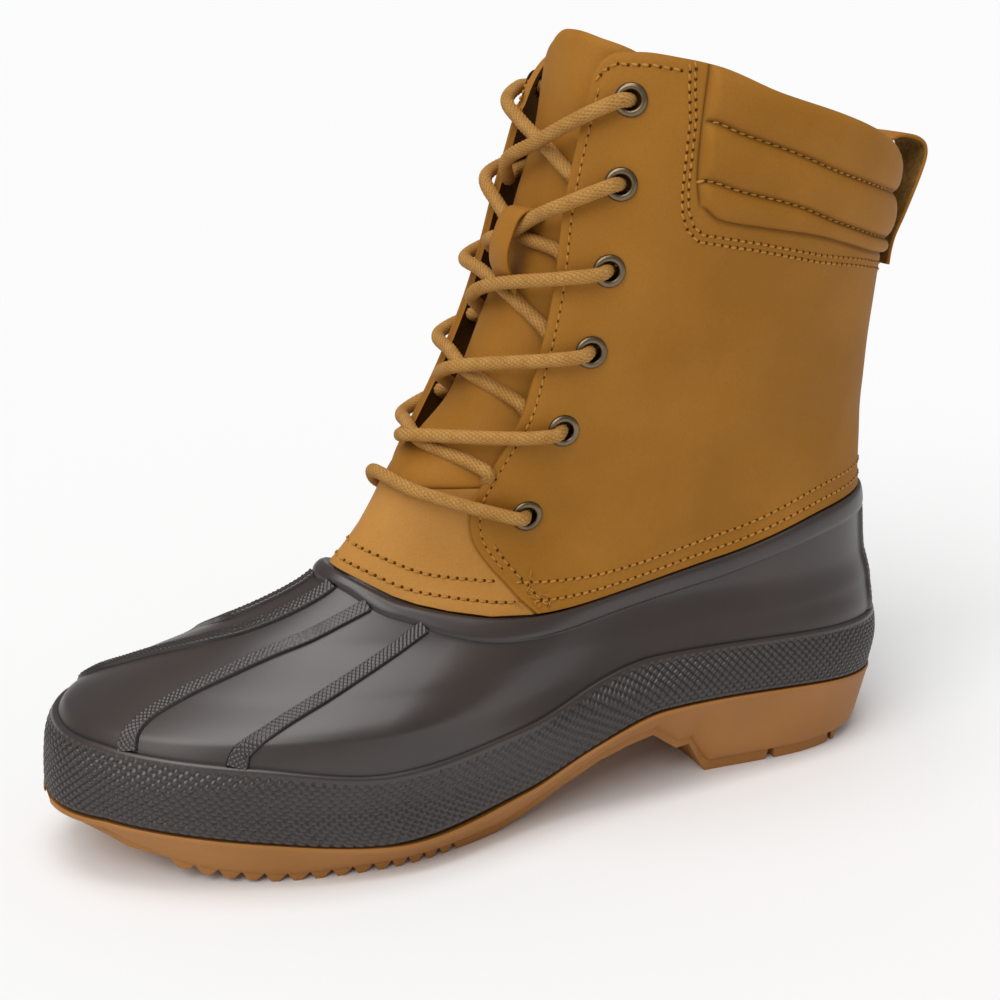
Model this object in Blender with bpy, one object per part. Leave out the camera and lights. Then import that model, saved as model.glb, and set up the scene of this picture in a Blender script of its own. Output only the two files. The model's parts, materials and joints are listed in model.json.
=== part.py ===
"""Duck boot: rubber shell, leather shaft and gum outsole. Metres, +Z up, +X to the toe, +Y to the outer side."""
import bpy
import numpy as np
from mathutils import Vector

MM = 0.001

# Named sizes in mm. The form of the foot is worked out from them.
LENGTH = 312.0
BALL_WIDTH = 110.0
HEIGHT = 260.0
LEATHER = 2.6
RUBBER = 2.6
GAP = 0.35
QUARTER_STEP = 1.2
LACE_RADIUS = 2.4
EYELET_RADIUS = 5.6
HOLE_RADIUS = 3.15
HEEL_BLOCK = 82.5
HEEL_END = 19.5
PAD_SLOTS = [(22.0, 24.5), (53.0, 55.5)]
TOOTH_FIRST = 190.0
TOOTH_PITCH = 6.5
TOOTH_TIP = 2.2
TOOTH_COUNT = 15

# Sections of the boot from the ground up. z is a share of HEIGHT, back and front are shares of LENGTH, and the
# half widths at heel, waist and ball (l outer side, m inner side) are shares of BALL_WIDTH. t_back and t_front
# say where along the section its two rounded ends start, n_back and n_front how blunt they are.
COLUMNS = "z back front heel waist_l ball_l waist_m ball_m t_back n_back t_front n_front".split()
SECTIONS = np.array([
    [0.000, 0.000, 0.917, 0.300, 0.309, 0.464, 0.273, 0.436, 0.20, 2.4, 0.62, 2.3],
    [0.046, -0.010, 0.971, 0.336, 0.345, 0.482, 0.300, 0.455, 0.20, 2.4, 0.62, 2.3],
    [0.096, -0.006, 0.998, 0.373, 0.377, 0.486, 0.309, 0.455, 0.20, 2.4, 0.62, 2.3],
    [0.154, -0.013, 0.994, 0.382, 0.400, 0.518, 0.350, 0.482, 0.20, 2.4, 0.62, 2.3],
    [0.200, -0.010, 0.978, 0.368, 0.350, 0.514, 0.318, 0.477, 0.20, 2.4, 0.60, 2.2],
    [0.238, -0.010, 0.913, 0.345, 0.318, 0.445, 0.295, 0.418, 0.22, 2.3, 0.55, 2.1],
    [0.285, -0.002, 0.812, 0.318, 0.282, 0.345, 0.273, 0.327, 0.24, 2.2, 0.50, 2.0],
    [0.338, 0.002, 0.711, 0.309, 0.282, 0.282, 0.277, 0.273, 0.28, 2.2, 0.48, 2.1],
    [0.400, 0.005, 0.659, 0.300, 0.300, 0.264, 0.300, 0.264, 0.32, 2.1, 0.48, 2.3],
    [0.477, 0.006, 0.617, 0.300, 0.318, 0.296, 0.318, 0.296, 0.36, 2.1, 0.50, 2.5],
    [0.577, 0.004, 0.563, 0.318, 0.336, 0.329, 0.336, 0.329, 0.42, 2.1, 0.50, 2.6],
    [0.692, -0.002, 0.515, 0.355, 0.366, 0.364, 0.366, 0.364, 0.46, 2.1, 0.50, 2.6],
    [0.808, -0.010, 0.481, 0.390, 0.394, 0.394, 0.394, 0.394, 0.48, 2.1, 0.50, 2.6],
    [0.923, -0.013, 0.450, 0.409, 0.409, 0.409, 0.409, 0.409, 0.50, 2.1, 0.50, 2.6],
    [1.040, -0.010, 0.420, 0.409, 0.418, 0.418, 0.418, 0.418, 0.50, 2.1, 0.50, 2.6],
])

# The centre line seen from above: share of LENGTH, sideways shift in mm. It turns in at the toe.
SPINE = np.array([[0.00, 0.0], [0.24, 1.5], [0.48, 4.0], [0.72, 1.0], [0.96, -9.0]])

# Heights in mm along the foot, by share of LENGTH.
GUM_LINE = np.array([[0.00, 26], [0.18, 33], [0.35, 36], [0.53, 17], [0.69, 12], [0.83, 18], [0.96, 24]])
RAND_LINE = np.array([[0.00, 49], [0.18, 53], [0.35, 54.5], [0.53, 43], [0.69, 39.5], [0.83, 45.5], [0.96, 49]])
TREAD_LINE = np.array([[0.33, 22], [0.37, 21], [0.41, 18], [0.45, 12], [0.49, 6], [0.53, 2], [0.57, 0], [0.80, 0],
                       [0.86, 2], [0.92, 7], [0.96, 13], [1.00, 21]])

# How far in mm the sole's wall leans in from its ledge to its foot, by distance from the heel in mm.
TAPER = np.array([[0, 2.0], [20, 3.0], [40, 4.5], [66, 7.5], [84, 10.0], [120, 7.0], [180, 5.0], [312, 4.0]])

# Leather's lower edge: share of the way from back to front, height in mm.
BAND_LINE = np.array([[0.0, 97], [0.15, 94.5], [0.35, 84], [0.6, 76], [0.85, 83], [1.0, 92.5]])

# Lines of the shaft in mm, by share of the way round: 0 at the front, 0.5 at the back.
COLLAR_LINE = np.array([[0.00, 240], [0.050, 243], [0.0585, 250], [0.0672, 256.6], [0.082, 259.5], [0.105, 259.6],
                        [0.15, 257.5], [0.18, 255], [0.24, 246], [0.30, 238.5],
                        [0.35, 232], [0.39, 226.5], [0.43, 221], [0.50, 217]])
# The same line at the top corner of the inner facing.
INNER_COLLAR = np.array([[0.00, 236], [0.072, 239.5], [0.083, 245], [0.095, 249.5], [0.12, 255], [0.15, 257.5]])
CHANNEL_1 = np.array([[0.00, 238.5], [0.18, 238.2], [0.21, 234], [0.26, 226.8], [0.31, 218.8], [0.38, 210.8],
                      [0.50, 203]])
CHANNEL_2 = np.array([[0.00, 219.5], [0.19, 219.2], [0.22, 215.5], [0.27, 209.5], [0.32, 201.5], [0.39, 193.5],
                      [0.50, 187]])
PAD_FOOT = np.array([[0.00, 212], [0.19, 211.5], [0.21, 206.5], [0.25, 202.5], [0.29, 199], [0.39, 188],
                     [0.50, 182]])
THROAT_LINE = np.array([[0.00, 120], [0.12, 120], [0.25, 122], [0.50, 126]])

# Edge of the facing, which runs on as the quarter's front edge over the vamp: height in mm, share round.
FACING_EDGE = np.array([[70, 0.230], [77, 0.208], [84, 0.183], [95, 0.150], [103, 0.131], [111, 0.119], [118, 0.114],
                        [140, 0.114], [156, 0.106], [186, 0.088], [216, 0.069], [236, 0.064], [270, 0.060]])

# Edge of the inner facing, which runs nearer the front, and how far in mm it stands off the form.
INNER_EDGE = np.array([[70, 0.230], [77, 0.208], [84, 0.183], [95, 0.150], [103, 0.122], [111, 0.097], [118, 0.083],
                       [140, 0.083], [165, 0.085], [190, 0.086], [205, 0.080], [218, 0.072], [236, 0.066], [270, 0.060]])
INNER_LIFT = np.array([[106, 0.0], [122, 3.4], [186, 3.2], [205, 2.2], [222, 0.9], [240, 0.2], [260, 0.0]])

# Eyelets from the top: height in mm, share round.
EYELETS = np.array([[245, 0.108], [219, 0.120], [191.5, 0.133], [165, 0.144], [139, 0.152], [109.5, 0.160]])

# Each crossing of the lace, from the top: drop in mm from its eyelets to the crossing, to the lower strand's end by the
# outer facing and to the upper strand's end by the inner facing.
CROSSINGS = np.array([[15, 23, 29], [17, 21, 28], [7, 18, 19.5], [7, 17, 17.5], [4.5, 12.5, 9.5]])

# Tongue's depth behind the form's surface, by height, and its top edge, by share round.
TONGUE_DEPTH = np.array([[100, 3.6], [112, 3.9], [122, 5.0], [134, 6.8], [150, 7.8], [232, 7.8], [250, 5.8], [270, 4.2]])
TONGUE_TOP = np.array([[-0.10, 232], [-0.06, 252], [-0.03, 262.5], [0.00, 267], [0.05, 264.5], [0.10, 260], [0.14, 250]])

# Toe ribs on each side of the centre: height in mm, shares round of the inner and the outer rib.
RIBS = np.array([[42, 0.074, 0.1245], [50, 0.069, 0.1245], [57, 0.060, 0.127], [62, 0.0525, 0.124],
                 [67, 0.046, 0.117], [72, 0.037, 0.105], [76, 0.031, 0.092], [80, 0.029, 0.088], [86, 0.030, 0.086],
                 [92, 0.031, 0.084]])

# How far the middle of the ribs is turned to the outer side: height in mm, share of the way round.
FAN = np.array([[50, 0.000], [57, 0.005], [62, 0.0145], [67, 0.028], [72, 0.045], [76, 0.060], [80, 0.066],
                [86, 0.070], [92, 0.071]])

# Width of the band under the leather: share of the way round, mm.
BAND_WIDTH = np.array([[0.00, 3.6], [0.07, 2.8], [0.14, 3.2], [0.17, 4.4], [0.20, 5.5], [0.25, 7.2], [0.31, 8.0],
                       [0.50, 8.0]])
RIB_HALF = 3.0
RIB_RISE = 1.2
RAND_RISE = 1.2
BAND_RISE = 1.4


def curve(table, x, column=1):
    """A smooth line through the table's rows that doesn't overshoot them."""
    k, v = table[:, 0], table[:, column]
    h = np.diff(k)
    s = np.diff(v) / h
    m = np.zeros(len(k))
    rising = s[:-1] * s[1:] > 0
    w1, w2 = 2 * h[1:] + h[:-1], h[1:] + 2 * h[:-1]
    safe = np.where(rising[:, None], np.stack([s[:-1], s[1:]], 1), 1.0)
    m[1:-1] = np.where(rising, (w1 + w2) / (w1 / safe[:, 0] + w2 / safe[:, 1]), 0.0)
    m[0], m[-1] = s[0], s[-1]
    x = np.clip(x, k[0], k[-1])
    i = np.clip(np.searchsorted(k, x, side="right") - 1, 0, len(h) - 1)
    t = (x - k[i]) / h[i]
    a, b = v[i], v[i + 1]
    return ((1 + 2 * t) * (1 - t) ** 2 * a + t * (1 - t) ** 2 * h[i] * m[i]
            + t * t * (3 - 2 * t) * b + t * t * (t - 1) * h[i] * m[i + 1])


def ease(a):
    a = np.clip(a, 0, 1)
    return a * a * (3 - 2 * a)


def form(u, z):
    """Point of the boot's outer form in mm: u goes round from 0 at the front by the outer side, z is the height."""
    u, z = np.broadcast_arrays(np.asarray(u, float), np.asarray(z, float))
    row = {name: curve(SECTIONS, z / HEIGHT, i) for i, name in enumerate(COLUMNS) if i}
    t = (1 + np.cos(2 * np.pi * u)) / 2
    outer = np.sin(2 * np.pi * u) >= 0
    waist = np.where(outer, row["waist_l"], row["waist_m"])
    ball = np.where(outer, row["ball_l"], row["ball_m"])
    width = row["heel"] + (waist - row["heel"]) * ease((t - 0.14) / 0.31) + (ball - waist) * ease((t - 0.45) / 0.27)
    back = np.clip((row["t_back"] - t) / row["t_back"], 0, 1)
    front = np.clip((t - row["t_front"]) / (1 - row["t_front"]), 0, 1)
    round_back = (1 - back ** row["n_back"]) ** (1 / row["n_back"])
    round_front = (1 - front ** row["n_front"]) ** (1 / row["n_front"])
    x = LENGTH * (row["back"] + (row["front"] - row["back"]) * t)
    y = curve(SPINE, x / LENGTH) + np.where(outer, 1, -1) * BALL_WIDTH * width * round_back * round_front
    return np.stack([x, y, z], -1)


def skin(u, z, out=0.0):
    """Point of the form moved out along its normal, in mm."""
    e, f = 0.002, 0.5
    n = np.cross(form(u + e, z) - form(u - e, z), form(u, z + f) - form(u, z - f))
    n /= np.linalg.norm(n, axis=-1)[..., None]
    return form(u, z) + n * np.asarray(out, float)[..., None]


def edge_share(side, z):
    """Share round, without its sign, of the facing's edge on the outer (1) or inner (-1) side."""
    return curve(FACING_EDGE if side > 0 else INNER_EDGE, z)


def lift(u, z):
    """How far the inner facing stands off the form, most at its edge."""
    behind = np.abs(u) - edge_share(-1, z)
    return np.where(u < 0, curve(INNER_LIFT, z) * ease((0.12 - behind) / 0.10), 0.0)


def facing(u, z, out=0.0):
    """Point of the shaft's face moved out along its normal, in mm."""
    u, z = np.asarray(u, float), np.asarray(z, float)
    return skin(u, z, out + lift(u, z))


def line_on_form(table, u):
    """Height at which the line, given by share of LENGTH, crosses the form at u."""
    z = np.full_like(np.asarray(u, float), 40.0)
    for _ in range(12):
        z = 0.5 * z + 0.5 * curve(table, form(u, z)[..., 0] / LENGTH)
    return z


def share_per_mm(u, z):
    """How far u moves for one mm along the form."""
    e = 0.002
    return 2 * e / np.linalg.norm(form(u + e, z) - form(u - e, z), axis=-1)


def band_height(u):
    return curve(BAND_LINE, (1 + np.cos(2 * np.pi * u)) / 2)


def gum_table():
    u = np.linspace(0.499, 0.001, 200)
    outer, inner = line_on_form(GUM_LINE, u), line_on_form(GUM_LINE, -u)
    return form(u, outer)[:, 0], (outer + inner) / 2


GUM_X, GUM_Z = gum_table()


def gum_height(x):
    """Height of the outsole's top at each x, the mean of its outer and inner side."""
    return np.interp(x, GUM_X, GUM_Z)


def material(name, color, rough, metal=0.0):
    mat = bpy.data.materials.new(name)
    mat.use_nodes = True
    shader = mat.node_tree.nodes["Principled BSDF"]
    shader.inputs["Base Color"].default_value = (*color, 1)
    shader.inputs["Roughness"].default_value = rough
    shader.inputs["Metallic"].default_value = metal
    return mat


LEATHER_MAT = material("tan_leather", (0.42, 0.20, 0.045), 0.7)
RUBBER_MAT = material("dark_rubber", (0.055, 0.042, 0.036), 0.55)
GUM_MAT = material("gum_rubber", (0.36, 0.18, 0.06), 0.6)
LACE_MAT = material("woven_lace", (0.45, 0.25, 0.09), 0.85)
BRASS_MAT = material("antique_brass", (0.20, 0.17, 0.12), 0.35, 1.0)
FOOTBED_MAT = material("footbed_fabric", (0.20, 0.12, 0.06), 0.9)


def solid(name, verts, faces, mat):
    """One object from points in mm and faces, without its unused points."""
    used = sorted({i for face in faces for i in face})
    place = {old: new for new, old in enumerate(used)}
    mesh = bpy.data.meshes.new(name)
    points = np.asarray(verts, float)[used] * MM
    mesh.from_pydata(points.tolist(), [], [[place[i] for i in face] for face in faces])
    mesh.update()
    obj = bpy.data.objects.new(name, mesh)
    obj.data.materials.append(mat)
    bpy.context.scene.collection.objects.link(obj)
    return obj


def closed_sheet(name, outer, inner, keep, around, mat):
    """One solid from an outer and an inner grid of points, with a rim wherever the kept cells end."""
    rows, cols = outer.shape[:2]
    verts = np.concatenate([outer.reshape(-1, 3), inner.reshape(-1, 3)])
    shift = rows * cols
    cells = cols if around else cols - 1
    faces = []
    for r in range(rows - 1):
        for c in range(cells):
            if not keep[r, c]:
                continue
            d = (c + 1) % cols
            ring = [r * cols + c, r * cols + d, (r + 1) * cols + d, (r + 1) * cols + c]
            faces.append(ring)
            faces.append([i + shift for i in reversed(ring)])
            near = [(r - 1, c), (r, c + 1), (r + 1, c), (r, c - 1)]
            for k, (rr, cc) in enumerate(near):
                cc = cc % cells if around else cc
                if 0 <= rr < rows - 1 and 0 <= cc < cells and keep[rr, cc]:
                    continue
                a, b = ring[k], ring[(k + 1) % 4]
                faces.append([b, a, a + shift, b + shift])
    return solid(name, verts, faces, mat)


def tube_mesh(path, radius, sides=6):
    """Points and faces of a round cord along a path in mm, with flat ends."""
    path = np.asarray(path, float)
    along = np.gradient(path, axis=0)
    along /= np.linalg.norm(along, axis=1)[:, None]
    side = np.cross(along[0], [0.3, 0.2, 1.0])
    verts, faces = [], []
    for p, a in zip(path, along):
        side = side - a * (side @ a)
        side /= np.linalg.norm(side)
        up = np.cross(a, side)
        for k in range(sides):
            angle = 2 * np.pi * k / sides
            verts.append(p + radius * (np.cos(angle) * side + np.sin(angle) * up))
    for r in range(len(path) - 1):
        for k in range(sides):
            m = (k + 1) % sides
            faces.append([r * sides + k, r * sides + m, (r + 1) * sides + m, (r + 1) * sides + k])
    faces.append(list(range(sides))[::-1])
    faces.append([(len(path) - 1) * sides + k for k in range(sides)])
    return np.array(verts), faces


def smooth_path(points, count):
    """A smooth path through a few points, by their distance along it."""
    points = np.asarray(points, float)
    run = np.concatenate([[0], np.cumsum(np.linalg.norm(np.diff(points, axis=0), axis=1))])
    at = np.linspace(0, run[-1], count)
    return np.stack([curve(np.stack([run, points[:, i]], 1), at) for i in range(3)], 1)


def boolean(obj, other, operation):
    other.hide_render = True
    other.display_type = "WIRE"
    cut = obj.modifiers.new(operation.lower(), "BOOLEAN")
    cut.operation = operation
    cut.solver = "EXACT"
    cut.object = other


def spread(marks):
    """Positions between pairs of marks: each mark is (position, cells up to the next)."""
    out = []
    for (a, n), (b, _) in zip(marks[:-1], marks[1:]):
        out += [a + (b - a) * k / n for k in range(n)]
    return np.array(out + [marks[-1][0]])


def sole_stations(back, front):
    """Positions along the sole in mm: its ends, the heel's pads, the arch and the teeth."""
    ends = [0.0006, 0.004, 0.012, 0.025, 0.045, 0.07, 0.10]
    xs = [back + (front - back) * t for t in ends] + [front - (front - back) * t for t in ends[:5]]
    for start, end in PAD_SLOTS:
        xs += [start, start + 0.3, end, end + 0.3]
    xs += [HEEL_END, HEEL_END + 0.4, 38.0, 68.0, HEEL_BLOCK, HEEL_BLOCK + 0.6, 91.0, 97.0]
    xs += list(np.arange(108.0, TOOTH_FIRST - 4, 11.0))
    for k in range(TOOTH_COUNT):
        start = TOOTH_FIRST + TOOTH_PITCH * k
        xs += [start, start + TOOTH_TIP, start + 0.6 * TOOTH_PITCH]
    return np.array(sorted(set(np.round(xs, 3))))


def sole_base(xs):
    """(height of the sole's underside, height without teeth and slots) in mm at each station."""
    arch = curve(TREAD_LINE, xs / LENGTH)
    breast = np.clip((xs - HEEL_BLOCK) * 1.6, 0.0, 13.5)
    rest = np.where(xs < 100.0, breast, arch)
    rest = np.where(xs < 12.0, 0.05 * (12.0 - xs) ** 2, rest)
    base = rest.copy()
    base[xs < HEEL_END + 0.1] += 4.4
    for start, end in PAD_SLOTS:
        base[(xs > start + 0.1) & (xs < end + 0.1)] = 4.4
    along = (xs - TOOTH_FIRST) / TOOTH_PITCH
    on_tip = (along % 1.0 < TOOTH_TIP / TOOTH_PITCH + 0.02) | (along % 1.0 > 0.98)
    base[(along > -0.02) & (along < TOOTH_COUNT) & ~on_tip] += 3.0
    return base, rest


def make_outsole():
    back, front = form(0.5, 26)[0], form(0.0, 24)[0]
    xs = sole_stations(back, front)
    t = np.clip((xs - back) / (front - back), 0.0006, 0.9994)
    u = np.arccos(2 * t - 1) / (2 * np.pi)
    top = gum_height(xs)
    base, rest = sole_base(xs)
    loops = []
    for k, x in enumerate(xs):
        heel = x <= HEEL_BLOCK + 1
        low = min(rest[k] + (5.2 if heel else 3.4), top[k] - 4.0)
        under = min(base[k], low - 0.6)
        spine = curve(SPINE, x / LENGTH)
        sides = {}
        for sign in (1, -1):
            p = skin(sign * u[k], top[k], 0.0)
            flat = (skin(sign * u[k], top[k], 1.0) - p) * [1, 1, 0]
            flat /= np.linalg.norm(flat)
            p = p * [1, 1, 0]
            room = min(1.0, abs(p[1] - spine) / 16.0) * np.interp(x, *TAPER.T)
            pad = (2.0 if heel else 1.0) * min(1.0, room)
            sides[sign] = [
                p + flat * 2.2 + [0, 0, top[k]],
                p + flat * 2.2 + [0, 0, top[k] - 1.8],
                p + flat * 1.7 + [0, 0, top[k] - 2.4],
                p - flat * room + [0, 0, low],
                p - flat * (room + pad) + [0, 0, low - 0.4],
                p - flat * (room + pad + 0.4) + [0, 0, under],
                p * [1, 0.5, 0] + [0, 0.5 * spine, under],
            ]
        loops.append(sides[1] + sides[-1][::-1])
    loops = np.array(loops)
    count, ring = loops.shape[:2]
    faces = []
    for k in range(count - 1):
        for j in range(ring):
            m = (j + 1) % ring
            faces.append([k * ring + j, k * ring + m, (k + 1) * ring + m, (k + 1) * ring + j])
    faces.append(list(range(ring))[::-1])
    faces.append([(count - 1) * ring + j for j in range(ring)])
    return solid("outsole", loops.reshape(-1, 3), faces, GUM_MAT)


def shell_columns(z):
    """Positions round the shell, one for each height in z, with both toe ribs and the heel strip marked."""
    z = np.clip(z, 42, 92)
    cols, raised = [0 * z], [0]
    for i in (1, 2):
        u = curve(RIBS, z, i)
        step = share_per_mm(u, z)
        between = (0.35, 0.72) if i == 1 else (0.5,)
        before = cols[-1]
        for share in between:
            cols.append(before + (u - 1.3 * RIB_HALF * step - before) * share)
            raised.append(0)
        for side, high in ((-1.3, 0), (-0.9, 1), (0.9, 1), (1.3, 0)):
            cols.append(u + side * RIB_HALF * step)
            raised.append(high)
    start = cols[-1]
    for share in (0.06, 0.12, 0.19, 0.26, 0.33, 0.41, 0.49, 0.57, 0.65, 0.74, 0.83, 0.92):
        cols.append(start + (0.442 - start) * share)
        raised.append(0)
    for u in (0.438, 0.446, 0.475):
        cols.append(u + 0 * z)
        raised.append(0 if u < 0.44 else 2)
    turned = [side * c + curve(FAN, z) * ease((0.30 - c) / 0.22) for side, half in ((-1, cols[:0:-1]), (1, cols))
              for c in half]
    return np.diagonal(np.array(turned + [0.5 + 0 * z])), np.array(raised[:0:-1] + raised + [2])


def shell_height(level, u):
    """Height at u of one level of the shell, from the gum line up to the lap under the leather."""
    low = np.full_like(u, 30.0)
    for _ in range(8):
        low = 0.5 * low + 0.5 * (gum_height(form(u, low)[:, 0]) + GAP + 1.3)
    rand = line_on_form(RAND_LINE, u)
    band = band_height(u)
    lip = band - curve(BAND_WIDTH, np.abs(u))
    named = {"gum": low, "rand_low": rand - 0.5, "rand_high": rand + 0.7, "band_low": lip - 0.6,
             "band_high": lip + 0.6, "band_top": band, "ledge": band, "lap": band + 9.0}
    return named[level] if level in named else rand + (lip - rand) * level


def make_shell():
    sides = ["rand_high", 0.2, 0.45, 0.75, "band_low"]
    levels = ["gum", "rand_low"] + sides + ["band_high", "band_top", "ledge", "lap"]
    under = -(LEATHER + GAP + 1.3)
    grid_out, grid_in = [], []
    for level in levels:
        z = np.full(80, 60.0)
        for _ in range(7):
            u, kind = shell_columns(z)
            z = shell_height(level, u)
        rise = np.zeros(len(u))
        inside = -RUBBER
        drop = 0.0
        if level in ("gum", "rand_low"):
            rise += RAND_RISE
        if level in sides:
            rise += np.where(kind == 2, 0.9, 0.0)
        if level in sides[1:]:
            rise += np.where(kind == 1, RIB_RISE, 0.0)
        if level in ("band_high", "band_top"):
            rise += BAND_RISE
        if level in ("ledge", "lap"):
            rise += under
        if level in ("band_top", "ledge", "lap"):
            inside = under - 1.4
        if level in ("band_high", "band_top"):
            drop = 1.0 if level == "band_high" else 2.0
        grid_out.append(skin(u, z, rise))
        grid_in.append(skin(u, z - drop, np.full(len(u), inside)))
    outer, inner = np.array(grid_out), np.array(grid_in)
    keep = np.ones((len(levels) - 1, outer.shape[1]), bool)
    return closed_sheet("shell", outer, inner, keep, True, RUBBER_MAT)


def upper_columns(z):
    """Positions round the shaft, one for each height in z, and how many columns each is from the front."""
    halves = []
    for side in (-1, 1):
        edge = edge_share(side, z)
        pad = np.maximum(0.172 + np.clip(200 - z, 0, 200) * 0.0003, edge + 0.045)
        cols = [edge * k for k in (0.0, 0.35, 0.7)] + [edge - 0.006, edge]
        cols += [edge + (pad - edge) * k for k in (0.25, 0.5, 0.75)]
        cols += [pad, pad + 0.007]
        cols += [pad + 0.007 + (0.493 - pad) * k for k in (0.1, 0.2, 0.3, 0.41, 0.52, 0.63, 0.74, 0.85, 0.93, 1.0)]
        halves.append([side * c for c in cols])
    whole = halves[0][-2:0:-1] + halves[1]
    return np.diagonal(np.array(whole)), np.abs(np.arange(len(whole)) - (len(cols) - 2))


def shaft_height(line, u):
    tables = {"throat": THROAT_LINE, "pad": PAD_FOOT, "two": CHANNEL_2, "one": CHANNEL_1, "collar": COLLAR_LINE}
    if line == "band":
        return band_height(u) + GAP + 0.35
    height = curve(tables[line], np.abs(u))
    return np.where((u < 0) & (u > -0.15), curve(INNER_COLLAR, np.abs(u)), height) if line == "collar" else height


def make_upper():
    rolls = {0.0: 0.5, 0.18: 2.0, 0.2: 2.0, 0.35: 1.8, 0.5: 2.8, 0.75: 1.8, 0.8: 2.0, 0.85: 1.8, 1.0: 0.0}
    plan = [("band", "throat", k) for k in (0.0, 0.3, 0.65)]
    plan += [("throat", "pad", k / 6) for k in range(6)]
    plan += [("pad", "two", k) for k in (0.0, 0.35, 0.75)]
    plan += [("two", "one", k) for k in (0.0, 0.2, 0.5, 0.8)]
    plan += [("one", "collar", k) for k in (0.0, 0.18, 0.5, 0.85, 1.0)]
    grid_out, grid_in = [], []
    for low, high, share in plan:
        z = np.full(80, 150.0)
        for _ in range(10):
            u, side = upper_columns(z)
            z = shaft_height(low, u) * (1 - share) + shaft_height(high, u) * share
        quarter = side >= 4
        out = np.where(quarter, 0.0, -QUARTER_STEP)
        if low in ("pad", "two", "one"):
            bulge = 0.0 if (low, share) == ("pad", 0.0) else rolls[share]
            out = out + np.where(side >= 9, bulge, 0.0)
        out = out + np.where(quarter, lift(u, z), 0.0)
        grid_out.append(skin(u, z, out))
        grid_in.append(skin(u, z, np.where(side >= 5, lift(u, z), np.where(quarter, 0.8 * lift(u, z), 0.0)) - LEATHER))
    open_row = [low != "band" for low, _, _ in plan]
    outer, inner = np.array(grid_out), np.array(grid_in)
    cols = outer.shape[1]
    middle = int(np.argmin(side))
    keep = np.ones((len(plan) - 1, cols), bool)
    for r in range(len(plan) - 1):
        if open_row[r]:
            keep[r, middle - 4:middle + 4] = False
    upper = closed_sheet("upper", outer, inner, keep, True, LEATHER_MAT)
    verts, faces = [], []
    for row in range(len(EYELETS)):
        for sign in (1, -1):
            u, z = eyelet_place(row, sign)
            a, b = facing(u, z, -7.0), facing(u, z, 5.0)
            v, f = tube_mesh([a, (a + b) / 2, b], HOLE_RADIUS, 8)
            faces += [[i + len(verts) for i in face] for face in f]
            verts += list(v)
    cutter = solid("hole_cutter", verts, faces, LEATHER_MAT)
    boolean(upper, cutter, "DIFFERENCE")
    return upper


def eyelet_place(row, sign):
    """(share round, height in mm) of an eyelet on the outer (1) or inner (-1) side, as far from its facing's edge."""
    z, u = EYELETS[row]
    return sign * (u + float(edge_share(sign, z) - edge_share(1, z))), z


def make_insole():
    ends = [0.015, 0.022, 0.035, 0.055, 0.08]
    loops = []
    for t in np.concatenate([ends, np.linspace(0.11, 0.89, 27), 1 - np.array(ends[::-1])]):
        u = np.arccos(2 * t - 1) / (2 * np.pi)
        z = float(gum_height(form(u, 30.0)[0]))
        rings = []
        for sign in (1, -1):
            side = skin(sign * u, z + 3.0, -(RUBBER + 2.2))
            floor = float(gum_height(side[0]))
            rings.append([side * [1, 1, 0] + [0, 0, floor + 1.3], side * [1, 1, 0] + [0, 0, floor + 5.3]])
        loops.append([rings[0][0], rings[1][0], rings[1][1], rings[0][1]])
    loops = np.array(loops)
    faces = []
    for k in range(len(loops) - 1):
        for j in range(4):
            m = (j + 1) % 4
            faces.append([k * 4 + j, k * 4 + m, (k + 1) * 4 + m, (k + 1) * 4 + j])
    faces.append([3, 2, 1, 0])
    faces.append([(len(loops) - 1) * 4 + j for j in range(4)])
    return solid("insole", loops.reshape(-1, 3), faces, FOOTBED_MAT)


def tongue_depth(u, z):
    """How far the tongue's outer face lies behind the form: deeper towards its folded inner edge."""
    fold = ease((-0.035 - u) / 0.06) * ease((z - 125) / 15.0) * ease((262 - z) / 20)
    return curve(TONGUE_DEPTH, z) + 4.0 * fold


def make_tongue():
    us = spread([(-0.095, 3), (-0.03, 6), (0.105, 1), (0.125, 0)])
    shares = np.linspace(0, 1, 17)
    top = curve(TONGUE_TOP, us)
    z = 106.0 + (top[None] - 106.0) * shares[:, None]
    u = np.broadcast_to(us, z.shape)
    depth = tongue_depth(u, z)
    outer = skin(u, z, -depth)
    inner = skin(u, z, -depth - 3.0)
    keep = np.ones((len(shares) - 1, len(us) - 1), bool)
    return closed_sheet("tongue", outer, inner, keep, False, LEATHER_MAT)


def over(u, z, rise=0.0):
    """Centre of a lace lying on the tongue at u, z."""
    return skin(np.array(u), np.array(z), -tongue_depth(np.array(u), np.array(z)) + LACE_RADIUS + GAP + 0.6 + rise)


def on_facing(u, z, rise=0.0):
    """Centre of a lace lying on the facing at u, z."""
    return facing(u, z, LACE_RADIUS + GAP + rise)


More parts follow.
